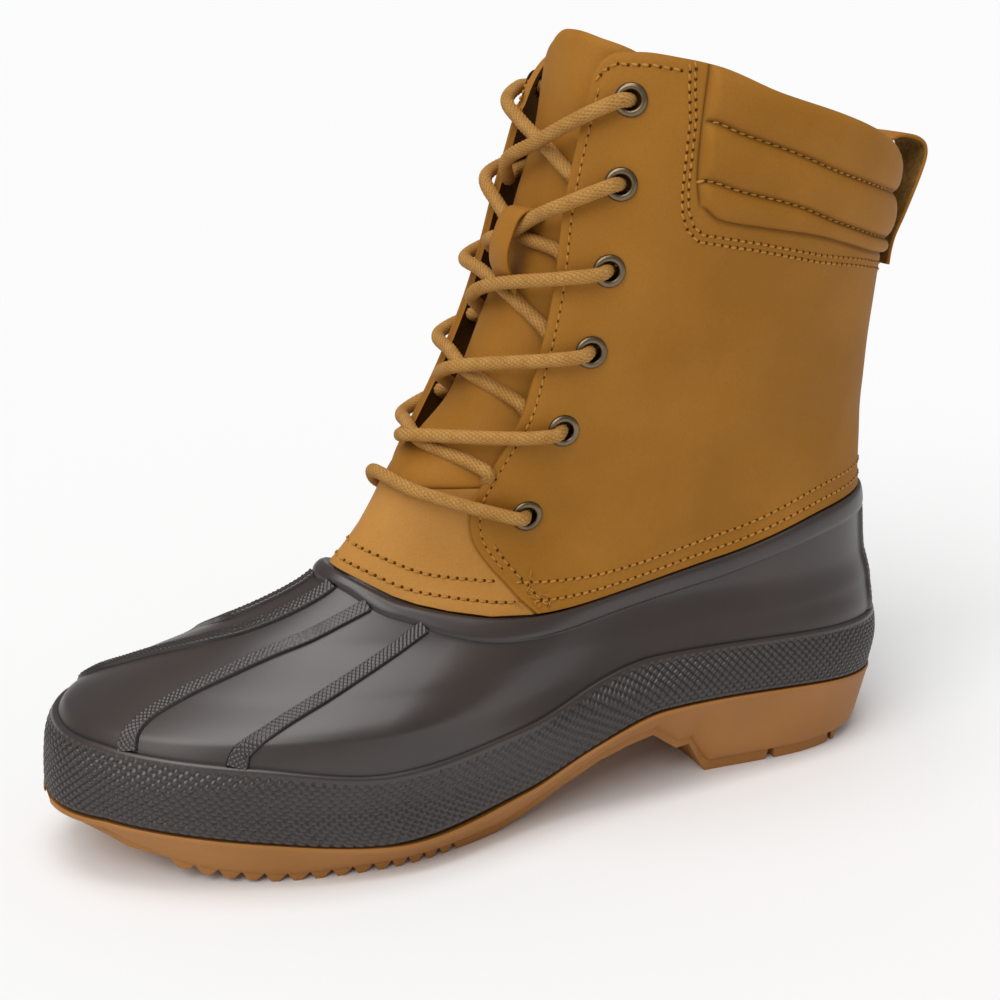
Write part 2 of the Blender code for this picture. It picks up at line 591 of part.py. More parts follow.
def make_lace():
    laces = []
    for k, (drop, outer_drop, inner_drop) in enumerate(CROSSINGS):
        u, z = eyelet_place(k, 1)
        inner_u, _ = eyelet_place(k, -1)
        outer_z, inner_z = z - outer_drop, z - inner_drop
        edge, inner_edge = float(edge_share(1, z - 4)), -float(edge_share(-1, z - 4))
        outer_end = float(edge_share(1, outer_z)) - 4.2 * float(share_per_mm(0.08, outer_z))
        inner_end = -float(edge_share(-1, inner_z)) + 4.2 * float(share_per_mm(0.08, inner_z))
        upper_strand = [on_facing(u, z, 2.6), on_facing((u + edge) / 2, z - 1.5, 2.0), on_facing(edge, z - 3, 1.6),
                        over(0.045, z - 0.6 * drop, 4.6), over(0.01, z - drop, 4.2),
                        over(-0.03, (z - drop + inner_z) / 2, 2.0), over(inner_end, inner_z, 0.6)]
        lower_strand = [on_facing(inner_u, z, 2.6), on_facing((inner_u + inner_edge) / 2, z - 1.5, 2.0),
                        on_facing(inner_edge, z - 3, 1.6), over(-0.03, z - 0.6 * drop, 3.0), over(0.01, z - drop, 0.0),
                        over(0.045, (z - drop + outer_z) / 2, 0.3), over(outer_end, outer_z, 0.3)]
        pair = []
        for tag, path in (("", upper_strand), ("_other", lower_strand)):
            v, f = tube_mesh(smooth_path(path, 12), LACE_RADIUS)
            pair.append(solid("lace_crossing_%d%s" % (k + 1, tag), v, f, LACE_MAT))
        boolean(pair[0], pair[1], "UNION")
        laces += pair[:1]
    (u, z), (inner_u, _) = eyelet_place(5, 1), eyelet_place(5, -1)
    path = [on_facing(u, z, 2.6), on_facing(0.138, 114, 2.0), on_facing(0.112, 119, 1.4), on_facing(0.07, 123, 0.6),
            on_facing(0.0, 126, 0.2), on_facing(-0.055, 125, 0.6), on_facing(-0.085, 120, 1.4),
            on_facing(-0.115, 114, 2.0), on_facing(inner_u, z, 2.6)]
    v, f = tube_mesh(smooth_path(path, 14), LACE_RADIUS)
    laces.append(solid("lace_bar", v, f, LACE_MAT))
    return laces


def strap(name, path, across, width, thick, mat):
    """A strap of flat section: path of its inner face, direction across it, width and thickness in mm."""
    path = np.asarray(path, float)
    across = np.asarray(across, float)
    across /= np.linalg.norm(across)
    along = np.gradient(path, axis=0)
    along /= np.linalg.norm(along, axis=1)[:, None]
    out = np.cross(along, across)
    out /= np.linalg.norm(out, axis=1)[:, None]
    a, b = path + across * width / 2, path - across * width / 2
    loops = np.stack([a, b, b + out * thick, a + out * thick], 1)
    faces = []
    for k in range(len(path) - 1):
        for j in range(4):
            m = (j + 1) % 4
            faces.append([k * 4 + j, k * 4 + m, (k + 1) * 4 + m, (k + 1) * 4 + j])
    faces.append([3, 2, 1, 0])
    faces.append([(len(path) - 1) * 4 + j for j in range(4)])
    return solid(name, loops.reshape(-1, 3), faces, mat)


def make_keeper():
    centre = EYELETS[1][0] - CROSSINGS[1][0]
    u = 0.01
    heights = [(17, 0.5), (14.5, 1.8), (12, 8.0), (8, 11), (0, 11.4), (-5.5, 11), (-8, 8.0), (-9, 1.8), (-10.5, 0.6)]
    path = [skin(np.array(u), np.array(centre + dz), -tongue_depth(np.array(u), np.array(centre + dz)) + rise)
            for dz, rise in heights]
    across = form(0.05, centre) - form(-0.03, centre)
    return strap("lace_keeper", path, across, 10.0, 1.3, LEATHER_MAT)


def make_pull_loop():
    top = float(curve(COLLAR_LINE, 0.5))
    outer = form(0.5, top)[0]
    heights = [(LEATHER + 3.8, -14), (LEATHER + 3.8, -2), (LEATHER + 2.0, 4.5), (-2.0, 8.0), (-9.0, 7.4), (-13.4, 5.0),
               (-14.3, 1.5), (-12.8, -4.0), (-9.9, -11.2), (-5.9, -20.2), (-2.4, -27.5), (-1.0, -33.0), (-0.4, -38.0)]
    path = [(outer + dx, 1.0, top + dz) for dx, dz in heights]
    return strap("pull_loop", path, (0, -1, 0), 18.0, 1.5, LEATHER_MAT)


def make_backstay():
    zs = np.linspace(100, 168, 9)
    path = skin(np.full(9, 0.5), zs, np.full(9, GAP))
    return strap("backstay", path, (0, 1, 0), 7.0, 1.0, LEATHER_MAT)


def make_eyelets():
    profile = [(2.1, -2.9), (2.6, -2.9), (2.6, GAP), (EYELET_RADIUS, GAP), (EYELET_RADIUS - 0.5, GAP + 0.8),
               (2.9, GAP + 1.2), (2.1, GAP + 0.7)]
    for row in range(len(EYELETS)):
        for side, sign in (("l", 1), ("m", -1)):
            u, z = eyelet_place(row, sign)
            rise = 0.8 if row == 5 else 0.0
            base = facing(u, z, rise)
            axis = facing(u, z, rise + 1.0) - base
            across = np.cross(axis, [0, 0, 1.0])
            across /= np.linalg.norm(across)
            up = np.cross(across, axis)
            verts, faces = [], []
            sides = 8
            for k in range(sides):
                angle = 2 * np.pi * (k + 0.5) / sides
                ray = np.cos(angle) * across + np.sin(angle) * up
                verts += [base + axis * h + ray * r for r, h in profile]
            n = len(profile)
            for k in range(sides):
                m = (k + 1) % sides
                for j in range(n):
                    i = (j + 1) % n
                    faces.append([k * n + j, k * n + i, m * n + i, m * n + j])
            solid("eyelet_%s_%d" % (side, row + 1), verts, faces, BRASS_MAT)


def face_out():
    """Turns every solid whose volume comes out negative."""
    for obj in bpy.data.objects:
        if obj.type != "MESH":
            continue
        mesh = obj.data
        volume = 0.0
        for poly in mesh.polygons:
            points = [mesh.vertices[i].co for i in poly.vertices]
            for a, b in zip(points[1:-1], points[2:]):
                volume += points[0].dot(a.cross(b))
        if volume < 0:
            mesh.flip_normals()


def stand_on_origin():
    """Moves the boot so that the origin lies under the middle of its box, on the ground."""
    points = np.array([v.co[:] for obj in bpy.data.objects if not obj.hide_render for v in obj.data.vertices])
    low, high = points.min(0), points.max(0)
    move = np.array([-(low[0] + high[0]) / 2, -(low[1] + high[1]) / 2, -low[2]])
    for obj in bpy.data.objects:
        for v in obj.data.vertices:
            v.co = v.co + Vector(move)


for old in list(bpy.data.objects):
    bpy.data.objects.remove(old)
make_outsole()
make_shell()
make_upper()
make_insole()
make_tongue()
make_lace()
make_keeper()
make_pull_loop()
make_backstay()
make_eyelets()
face_out()
stand_on_origin()
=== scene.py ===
"""Looks of the duck boot: leather, rubber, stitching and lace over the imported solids, with camera and light."""
import json
import math

import bpy
import numpy as np
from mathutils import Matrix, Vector

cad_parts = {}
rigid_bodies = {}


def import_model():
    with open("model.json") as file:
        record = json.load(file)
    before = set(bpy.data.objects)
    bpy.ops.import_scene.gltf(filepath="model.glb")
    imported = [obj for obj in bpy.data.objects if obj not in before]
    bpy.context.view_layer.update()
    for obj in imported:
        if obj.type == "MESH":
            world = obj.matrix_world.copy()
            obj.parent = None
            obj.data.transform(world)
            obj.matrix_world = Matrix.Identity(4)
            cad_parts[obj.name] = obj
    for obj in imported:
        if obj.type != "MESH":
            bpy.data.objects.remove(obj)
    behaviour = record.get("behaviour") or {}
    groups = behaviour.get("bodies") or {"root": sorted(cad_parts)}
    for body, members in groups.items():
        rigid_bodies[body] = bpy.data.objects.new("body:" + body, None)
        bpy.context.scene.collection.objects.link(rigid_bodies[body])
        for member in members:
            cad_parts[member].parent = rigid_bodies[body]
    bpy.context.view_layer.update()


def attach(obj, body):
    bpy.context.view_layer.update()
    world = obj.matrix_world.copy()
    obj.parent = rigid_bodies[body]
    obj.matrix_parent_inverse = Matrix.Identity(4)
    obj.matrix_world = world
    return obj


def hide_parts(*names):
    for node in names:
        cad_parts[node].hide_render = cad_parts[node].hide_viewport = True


MM = 0.001
# The form below is in mm from the heel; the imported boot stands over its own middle.
MOVE = np.array([-147.04, -3.59, 0.0])

LENGTH = 312.0
BALL_WIDTH = 110.0
HEIGHT = 260.0
LEATHER = 2.6
RUBBER = 2.6
GAP = 0.35
QUARTER_STEP = 1.2
LACE_RADIUS = 2.4
# Clearance of the lace over the tongue and over the facings.
OVER_TONGUE = 0.35
OVER_FACING = 0.25
EYELET_HOLE = 3.9
# From a facing's edge to its stitches, and how far in front of the edge the inner facing's lift fades.
EDGE_SEAM = 3.3
LIFT_FADE = 1.2
# About how far it is round the shaft.
ROUND_MM = 480.0
HEEL_BLOCK = 82.5
HEEL_END = 19.5
PAD_SLOTS = [(22.0, 24.5), (53.0, 55.5)]
TOOTH_FIRST = 190.0
TOOTH_PITCH = 6.5
TOOTH_TIP = 2.2
TOOTH_COUNT = 15

# Sections of the boot, as in the solids: z as a share of HEIGHT, back and front as shares of LENGTH, half widths
# as shares of BALL_WIDTH, then where the rounded ends start and how blunt they are.
COLUMNS = "z back front heel waist_l ball_l waist_m ball_m t_back n_back t_front n_front".split()
SECTIONS = np.array([
    [0.000, 0.000, 0.917, 0.300, 0.309, 0.464, 0.273, 0.436, 0.20, 2.4, 0.62, 2.3],
    [0.046, -0.010, 0.971, 0.336, 0.345, 0.482, 0.300, 0.455, 0.20, 2.4, 0.62, 2.3],
    [0.096, -0.006, 0.998, 0.373, 0.377, 0.486, 0.309, 0.455, 0.20, 2.4, 0.62, 2.3],
    [0.154, -0.013, 0.994, 0.382, 0.400, 0.518, 0.350, 0.482, 0.20, 2.4, 0.62, 2.3],
    [0.200, -0.010, 0.978, 0.368, 0.350, 0.514, 0.318, 0.477, 0.20, 2.4, 0.60, 2.2],
    [0.238, -0.010, 0.913, 0.345, 0.318, 0.445, 0.295, 0.418, 0.22, 2.3, 0.55, 2.1],
    [0.285, -0.002, 0.812, 0.318, 0.282, 0.345, 0.273, 0.327, 0.24, 2.2, 0.50, 2.0],
    [0.338, 0.002, 0.711, 0.309, 0.282, 0.282, 0.277, 0.273, 0.28, 2.2, 0.48, 2.1],
    [0.400, 0.005, 0.659, 0.300, 0.300, 0.264, 0.300, 0.264, 0.32, 2.1, 0.48, 2.3],
    [0.477, 0.006, 0.617, 0.300, 0.318, 0.296, 0.318, 0.296, 0.36, 2.1, 0.50, 2.5],
    [0.577, 0.004, 0.563, 0.318, 0.336, 0.329, 0.336, 0.329, 0.42, 2.1, 0.50, 2.6],
    [0.692, -0.002, 0.515, 0.355, 0.366, 0.364, 0.366, 0.364, 0.46, 2.1, 0.50, 2.6],
    [0.808, -0.010, 0.481, 0.390, 0.394, 0.394, 0.394, 0.394, 0.48, 2.1, 0.50, 2.6],
    [0.923, -0.013, 0.450, 0.409, 0.409, 0.409, 0.409, 0.409, 0.50, 2.1, 0.50, 2.6],
    [1.040, -0.010, 0.420, 0.409, 0.418, 0.418, 0.418, 0.418, 0.50, 2.1, 0.50, 2.6],
])
# The sole's middle line: share of LENGTH, mm to the outer side.
SPINE = np.array([[0.00, 0.0], [0.24, 1.5], [0.48, 4.0], [0.72, 1.0], [0.96, -9.0]])
# Tops of the gum sole and of the rand: share of LENGTH, height in mm.
GUM_LINE = np.array([[0.00, 26], [0.18, 33], [0.35, 36], [0.53, 17], [0.69, 12], [0.83, 18], [0.96, 24]])
RAND_LINE = np.array([[0.00, 49], [0.18, 53], [0.35, 54.5], [0.53, 43], [0.69, 39.5], [0.83, 45.5], [0.96, 49]])
# Top of the rubber: share of the way from heel to toe, height in mm.
BAND_LINE = np.array([[0.0, 97], [0.15, 94.5], [0.35, 84], [0.6, 76], [0.85, 83], [1.0, 92.5]])
# How far the sole's side leans in: mm from the heel, mm.
TAPER = np.array([[0, 2.0], [20, 3.0], [40, 4.5], [66, 7.5], [84, 10.0], [120, 7.0], [180, 5.0], [312, 4.0]])
# Underside of the arch and the forefoot: share of LENGTH, height in mm.
TREAD_LINE = np.array([[0.33, 22], [0.37, 21], [0.41, 18], [0.45, 12], [0.49, 6], [0.53, 2], [0.57, 0], [0.80, 0],
                       [0.86, 2], [0.92, 7], [0.96, 13], [1.00, 21]])
# Top of the collar: share of the way round, height in mm.
COLLAR_LINE = np.array([[0.00, 240], [0.050, 243], [0.0585, 250], [0.0672, 256.6], [0.082, 259.5], [0.105, 259.6],
                        [0.15, 257.5], [0.18, 255], [0.24, 246], [0.30, 238.5],
                        [0.35, 232], [0.39, 226.5], [0.43, 221], [0.50, 217]])
# The same line at the top corner of the inner facing.
INNER_COLLAR = np.array([[0.00, 236], [0.072, 239.5], [0.083, 245], [0.095, 249.5], [0.12, 255], [0.15, 257.5]])
# The pad's two seams, its foot and the throat's foot: share of the way round, height in mm.
CHANNEL_1 = np.array([[0.00, 238.5], [0.18, 238.2], [0.21, 234], [0.26, 226.8], [0.31, 218.8], [0.38, 210.8],
                      [0.50, 203]])
CHANNEL_2 = np.array([[0.00, 219.5], [0.19, 219.2], [0.22, 215.5], [0.27, 209.5], [0.32, 201.5], [0.39, 193.5],
                      [0.50, 187]])
PAD_FOOT = np.array([[0.00, 212], [0.19, 211.5], [0.21, 206.5], [0.25, 202.5], [0.29, 199], [0.39, 188],
                     [0.50, 182]])
THROAT_LINE = np.array([[0.00, 120], [0.12, 120], [0.25, 122], [0.50, 126]])
# Front edges of the outer and the inner facing: height in mm, share of the way round.
FACING_EDGE = np.array([[70, 0.230], [77, 0.208], [84, 0.183], [95, 0.150], [103, 0.131], [111, 0.119], [118, 0.114],
                        [140, 0.114], [156, 0.106], [186, 0.088], [216, 0.069], [236, 0.064], [270, 0.060]])
INNER_EDGE = np.array([[70, 0.230], [77, 0.208], [84, 0.183], [95, 0.150], [103, 0.122], [111, 0.097], [118, 0.083],
                       [140, 0.083], [165, 0.085], [190, 0.086], [205, 0.080], [218, 0.072], [236, 0.066],
                       [270, 0.060]])
# How far the inner facing stands off the form at its edge: height in mm, mm.
INNER_LIFT = np.array([[106, 0.0], [122, 3.4], [186, 3.2], [205, 2.2], [222, 0.9], [240, 0.2], [260, 0.0]])
# Front edge of the padded collar: height in mm, share of the way round.
PAD_EDGE = np.array([[100, 0.215], [200, 0.200], [206, 0.197], [212, 0.192], [220, 0.185], [238, 0.177],
                     [256, 0.172]])
# Eyelets of the outer side from the top: height in mm, share of the way round.
EYELETS = np.array([[245, 0.108], [219, 0.120], [191.5, 0.133], [165, 0.144], [139, 0.152], [109.5, 0.160]])
# How far the tongue lies behind the form: height in mm, mm.
TONGUE_DEPTH = np.array([[100, 3.1], [119.4, 3.1], [120.6, 1.5], [127, 2.2], [136, 5.2], [150, 7.8], [232, 7.8],
                         [250, 5.8], [270, 4.2]])
# The tongue's top edge: share of the way round, height in mm.
TONGUE_TOP = np.array([[-0.10, 232], [-0.06, 252], [-0.03, 262.5], [0.00, 267], [0.05, 264.5], [0.10, 260],
                       [0.14, 250]])
# The toe's ribs: height in mm, then how far the inner and the outer pair lie from their middle, as shares round.
RIBS = np.array([[42, 0.074, 0.1245], [50, 0.069, 0.1245], [57, 0.060, 0.127], [62, 0.0525, 0.124],
                 [67, 0.046, 0.117], [72, 0.037, 0.105], [76, 0.031, 0.092], [80, 0.029, 0.088], [86, 0.030, 0.086],
                 [92, 0.031, 0.084]])
# How far the middle of the ribs is turned to the outer side: height in mm, share of the way round.
FAN = np.array([[50, 0.000], [57, 0.005], [62, 0.0145], [67, 0.028], [72, 0.045], [76, 0.060], [80, 0.066],
                [86, 0.070], [92, 0.071]])
# Width of the band under the leather: share of the way round, mm.
BAND_WIDTH = np.array([[0.00, 3.6], [0.07, 2.8], [0.14, 3.2], [0.17, 4.4], [0.20, 5.5], [0.25, 7.2], [0.31, 8.0],
                       [0.50, 8.0]])
RIB_HALF = 3.0
RIB_RISE = 1.2
RAND_RISE = 1.2


def unit(vectors):
    """The same directions with length 1."""
    return vectors / np.linalg.norm(vectors, axis=-1, keepdims=True)


def run_along(path):
    """Distance from a path's start to each of its points."""
    return np.concatenate([[0], np.cumsum(np.linalg.norm(np.diff(path, axis=0), axis=1))])


def hermite(t, h, a, b, slope_a, slope_b):
    """Value at share t of a step h long between a and b, with the slopes at both ends."""
    return ((1 + 2 * t) * (1 - t) ** 2 * a + t * (1 - t) ** 2 * h * slope_a
            + t * t * (3 - 2 * t) * b + t * t * (t - 1) * h * slope_b)


def curve(table, x, column=1):
    """A smooth line through the table's rows that doesn't overshoot them."""
    k, v = table[:, 0], table[:, column]
    h = np.diff(k)
    s = np.diff(v) / h
    m = np.zeros(len(k))
    rising = s[:-1] * s[1:] > 0
    w1, w2 = 2 * h[1:] + h[:-1], h[1:] + 2 * h[:-1]
    safe = np.where(rising[:, None], np.stack([s[:-1], s[1:]], 1), 1.0)
    m[1:-1] = np.where(rising, (w1 + w2) / (w1 / safe[:, 0] + w2 / safe[:, 1]), 0.0)
    m[0], m[-1] = s[0], s[-1]
    x = np.clip(x, k[0], k[-1])
    i = np.clip(np.searchsorted(k, x, side="right") - 1, 0, len(h) - 1)
    return hermite((x - k[i]) / h[i], h[i], v[i], v[i + 1], m[i], m[i + 1])


def ease(a):
    a = np.clip(a, 0, 1)
    return a * a * (3 - 2 * a)


def hump(a):
    """A soft bump: 1 at 0, falling to 0 at 1 and beyond."""
    return 1 - ease(np.abs(a))


def form(u, z):
    """Point of the boot's outer form in mm: u goes round from 0 at the front by the outer side, z is the height."""
    u, z = np.broadcast_arrays(np.asarray(u, float), np.asarray(z, float))
    row = {name: curve(SECTIONS, z / HEIGHT, i) for i, name in enumerate(COLUMNS) if i}
    t = (1 + np.cos(2 * np.pi * u)) / 2
    outer = np.sin(2 * np.pi * u) >= 0
    waist = np.where(outer, row["waist_l"], row["waist_m"])
    ball = np.where(outer, row["ball_l"], row["ball_m"])
    width = row["heel"] + (waist - row["heel"]) * ease((t - 0.14) / 0.31) + (ball - waist) * ease((t - 0.45) / 0.27)
    back = np.clip((row["t_back"] - t) / row["t_back"], 0, 1)
    front = np.clip((t - row["t_front"]) / (1 - row["t_front"]), 0, 1)
    round_back = (1 - back ** row["n_back"]) ** (1 / row["n_back"])
    round_front = (1 - front ** row["n_front"]) ** (1 / row["n_front"])
    x = LENGTH * (row["back"] + (row["front"] - row["back"]) * t)
    y = curve(SPINE, x / LENGTH) + np.where(outer, 1, -1) * BALL_WIDTH * width * round_back * round_front
    return np.stack([x, y, z], -1)


def normal(u, z):
    e, f = 0.002, 0.5
    return unit(np.cross(form(u + e, z) - form(u - e, z), form(u, z + f) - form(u, z - f)))


def skin(u, z, out=0.0):
    """Point of the form moved out along its normal, in mm."""
    return form(u, z) + normal(u, z) * np.asarray(out, float)[..., None]


def share_per_mm(u, z):
    """How far u moves for one mm along the form."""
    e = 0.002
    return 2 * e / np.linalg.norm(form(u + e, z) - form(u - e, z), axis=-1)


def edge_share(side, z):
    """Share round, without its sign, of the facing's edge on the outer (1) or inner (-1) side."""
    return curve(FACING_EDGE if side > 0 else INNER_EDGE, z)


def edge_at(u, z):
    return np.where(np.asarray(u) >= 0, edge_share(1, z), edge_share(-1, z))


def lift(u, z):
    """How far the inner facing stands off the form, most at its edge."""
    behind = np.abs(u) - edge_share(-1, z)
    return np.where(u < 0, curve(INNER_LIFT, z) * ease((0.12 - behind) / 0.10), 0.0)


def facing(u, z, out=0.0):
    """Point of the shaft's face moved out along its normal, in mm."""
    u, z = np.asarray(u, float), np.asarray(z, float)
    return skin(u, z, out + lift(u, z))


def eyelet_place(row, sign):
    """(share round, height in mm) of an eyelet on the outer (1) or inner (-1) side."""
    z, u = EYELETS[row]
    return sign * (u + float(edge_share(sign, z) - edge_share(1, z))), z


def line_on_form(table, u):
    """Height at which the line, given by share of LENGTH, crosses the form at u."""
    z = np.full_like(np.asarray(u, float), 40.0)
    for _ in range(12):
        z = 0.5 * z + 0.5 * curve(table, form(u, z)[..., 0] / LENGTH)
    return z


def band_height(u):
    return curve(BAND_LINE, (1 + np.cos(2 * np.pi * u)) / 2)


def gum_table():
    u = np.linspace(0.499, 0.001, 200)
    outer, inner = line_on_form(GUM_LINE, u), line_on_form(GUM_LINE, -u)
    return form(u, outer)[:, 0], (outer + inner) / 2


GUM_X, GUM_Z = gum_table()


def gum_height(x):
    return np.interp(x, GUM_X, GUM_Z)


def gum_on_form(u):
    low = np.full_like(u, 30.0)
    for _ in range(8):
        low = 0.5 * low + 0.5 * (gum_height(form(u, low)[..., 0]) + GAP + 1.3)
    return low


def tongue_depth(u, z):
    """How far the tongue's outer face lies behind the form: deeper towards its folded inner edge."""
    fold = ease((-0.035 - u) / 0.06) * ease((z - 125) / 15.0) * ease((262 - z) / 20)
    return curve(TONGUE_DEPTH, z) + 4.0 * fold


def linear(code):
    """Linear colour of an sRGB hex code."""
    values = [int(code[i:i + 2], 16) / 255 for i in (1, 3, 5)]
    return [v / 12.92 if v <= 0.04045 else ((v + 0.055) / 1.055) ** 2.4 for v in values] + [1.0]


def add_node(tree, kind, inputs=None, **settings):
    """A new node with its settings, its constant inputs and the sockets that feed it."""
    node = tree.nodes.new(kind)
    for name, value in settings.items():
        setattr(node, name, value)
    for name, value in (inputs or {}).items():
        if isinstance(value, bpy.types.NodeSocket):
            tree.links.new(value, node.inputs[name])
        else:
            node.inputs[name].default_value = value
    return node


def new_material(name, rough, shine, metal=0.0, ior=1.5):
    """(material, its tree, its shader) of a new procedural finish."""
    mat = bpy.data.materials.new(name)
    mat.use_nodes = True
    shader = mat.node_tree.nodes["Principled BSDF"]
    for key, value in (("Roughness", rough), ("Specular IOR Level", shine), ("Metallic", metal), ("IOR", ior)):
        shader.inputs[key].default_value = value
    return mat, mat.node_tree, shader


def mix_color(tree, share, low, high):
    """Blend of two colours, each a hex code or a socket."""
    node = add_node(tree, "ShaderNodeMix", data_type="RGBA")
    tree.links.new(share, node.inputs["Factor"])
    # Sockets 6 and 7 of a Mix node are its two colours, and output 2 is their blend.
    for socket, color in ((6, low), (7, high)):
        if isinstance(color, str):
            node.inputs[socket].default_value = linear(color)
        else:
            tree.links.new(color, node.inputs[socket])
    return node.outputs[2]


def noise(tree, per_mm, detail=2.0, rough=0.5):
    """Noise over the object's own space, with so many cells for each mm."""
    place = add_node(tree, "ShaderNodeTexCoord")
    return add_node(tree, "ShaderNodeTexNoise",
                    {"Vector": place.outputs["Object"], "Scale": per_mm * 1000, "Detail": detail, "Roughness": rough})


def bump(tree, shader, height, distance_mm, strength):
    node = add_node(tree, "ShaderNodeBump", {"Height": height, "Distance": distance_mm * MM, "Strength": strength})
    tree.links.new(node.outputs["Normal"], shader.inputs["Normal"])


def stretch(tree, value, low, high):
    return add_node(tree, "ShaderNodeMapRange", {"Value": value, "From Min": low, "From Max": high}).outputs["Result"]


def shade_mark(tree):
    """How much painted shade each place is marked with on the mesh, from 0 to 1."""
    return add_node(tree, "ShaderNodeAttribute", attribute_name="dark").outputs["Fac"]


def finish_material(name, colors, rough, cloud_mm, grain_mm, grain_depth, ior=1.5, metal=0.0, speck=0.0, shine=0.5):
    """A finish with soft clouding between two colours, a darker one where the mesh is marked with painted shade, and a
    fine grain.
    """
    low, high, dark = colors
    mat, tree, shader = new_material(name, rough, shine, metal, ior)
    cloud = noise(tree, 1 / cloud_mm, 4.0, 0.55)
    color = mix_color(tree, stretch(tree, cloud.outputs["Fac"], 0.36, 0.66), low, high)
    fine = noise(tree, 1 / grain_mm, 3.0, 0.6)
    if speck:
        spot = stretch(tree, fine.outputs["Fac"], 0.35, 0.65)
        soft = add_node(tree, "ShaderNodeMath", operation="MULTIPLY", inputs={0: spot, 1: speck})
        color = mix_color(tree, soft.outputs[0], color, dark)
    color = mix_color(tree, shade_mark(tree), color, dark)
    tree.links.new(color, shader.inputs["Base Color"])
    bump(tree, shader, fine.outputs["Fac"], grain_depth, 0.6)
    return mat


# Waxed nubuck: matt, softly clouded, with a very fine nap that throws back little light. Typical index 1.5.
LEATHER_MAT = finish_material("waxed_nubuck", ("#9A661F", "#A56F27", "#5A3A12"), 0.62, 45, 0.7, 0.09, speck=0.12,
                              shine=0.15)
# The same leather painted paler on the vamp, standing in for the stronger light that falls on it.
LIT_VAMP_MAT = finish_material("waxed_nubuck_painted_light", ("#B27C38", "#BD8642", "#5E3E16"), 0.62, 45, 0.7, 0.09, speck=0.12,
                           shine=0.15)
# The same leather where it is turned in, painted darker to stand in for the shade inside the boot.
SHADED_LINING_MAT = finish_material("shaded_leather_lining", ("#5E4020", "#6C4A24", "#2C1A08"), 0.8, 20, 0.6, 0.12, shine=0.1)
# The back strip, coloured near-black brown.
STRIP_MAT = finish_material("near_black_back_strip", ("#3A2414", "#452C1A", "#20140A"), 0.6, 20, 0.6, 0.08, shine=0.3)
# Moulded rubber: satin, with a faint moulding grain. Typical index 1.52.
SHELL_MAT = finish_material("dark_moulded_rubber", ("#2B211D", "#342823", "#0E0A08"), 0.36, 40, 0.5, 0.04, ior=1.52,
                            shine=0.7)
# Gum rubber: tan and matt.
GUM_MAT = finish_material("gum_rubber", ("#9C6830", "#A6713A", "#6A421C"), 0.55, 40, 0.5, 0.05, ior=1.52, shine=0.25)
# The ledge's top, painted darker for the shade in the groove under the rand.
LEDGE_SHADE_MAT = finish_material("gum_ledge_shade", ("#6E4518", "#7A4E1E", "#40260C"), 0.65, 20, 0.5, 0.05, shine=0.2)
# Round braided polyester: matt, with painted shade between its strands.
LACE_MAT = finish_material("braided_lace", ("#BE8A46", "#CC9A56", "#5A3A18"), 0.8, 5, 0.25, 0.10, speck=0.2, shine=0.15)
# Antique brass: a brushed alloy with a dark tone.
BRASS_MAT = finish_material("antique_brass", ("#6E604A", "#7E705A", "#2C241A"), 0.32, 6, 0.4, 0.02, ior=1.45, metal=1.0)
# Polyester thread, a little glossy.
THREAD_MAT = finish_material("tan_thread", ("#A8732A", "#B98234", "#6E4818"), 0.55, 8, 0.3, 0.04, shine=0.3)
# Painted shade for the needle holes and the inside of eyelets.
HOLE_SHADE_MAT = finish_material("needle_hole", ("#4A2E10", "#523414", "#1C1006"), 0.95, 8, 0.5, 0.02, shine=0.05)
# Suede side of the pull loop.
SUEDE_MAT = finish_material("rough_suede", ("#76562A", "#90703C", "#3E2A10"), 0.95, 2.0, 0.35, 0.5, speck=0.5,
                            shine=0.05)
# Woven footbed cloth.
CLOTH_MAT = finish_material("footbed_cloth", ("#5A4630", "#66503A", "#2E2214"), 0.9, 10, 0.4, 0.2, shine=0.1)


def piece(name, points, faces, mat, nodes=(), sharp=None, dark=None, second=None):
    """One shown mesh from points in mm, riding on the boot. second gives each face's place in a list of finishes."""
    mesh = bpy.data.meshes.new(name)
    placed = (np.asarray(points, float).reshape(-1, 3) + MOVE) * MM
    mesh.from_pydata(placed.tolist(), [], faces.tolist() if isinstance(faces, np.ndarray) else faces)
    mesh.update()
    mesh.shade_smooth()
    if sharp:
        mesh.set_sharp_from_angle(angle=math.radians(sharp))
    for each in (mat if isinstance(mat, list) else [mat]):
        mesh.materials.append(each)
    if second is not None:
        mesh.polygons.foreach_set("material_index", np.asarray(second, np.int32))
    shade = mesh.attributes.new("dark", "FLOAT", "POINT")
    if dark is not None:
        shade.data.foreach_set("value", np.clip(np.asarray(dark, float).ravel(), 0, 1).astype(np.float32))
    obj = bpy.data.objects.new(name, mesh)
    bpy.context.scene.collection.objects.link(obj)
    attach(obj, "root")
    if nodes:
        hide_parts(*nodes)
    return obj


def grid_faces(rows, cols, keep=None, around=False, start=0):
    """Quads of a grid of points, only where the cells are kept."""
    index = np.arange(rows * cols).reshape(rows, cols) + start
    right = np.roll(index, -1, 1) if around else index[:, 1:]
    left = index if around else index[:, :-1]
    quads = np.stack([left[:-1], right[:-1], right[1:], left[1:]], -1)
    return quads[keep] if keep is not None else quads.reshape(-1, 4)


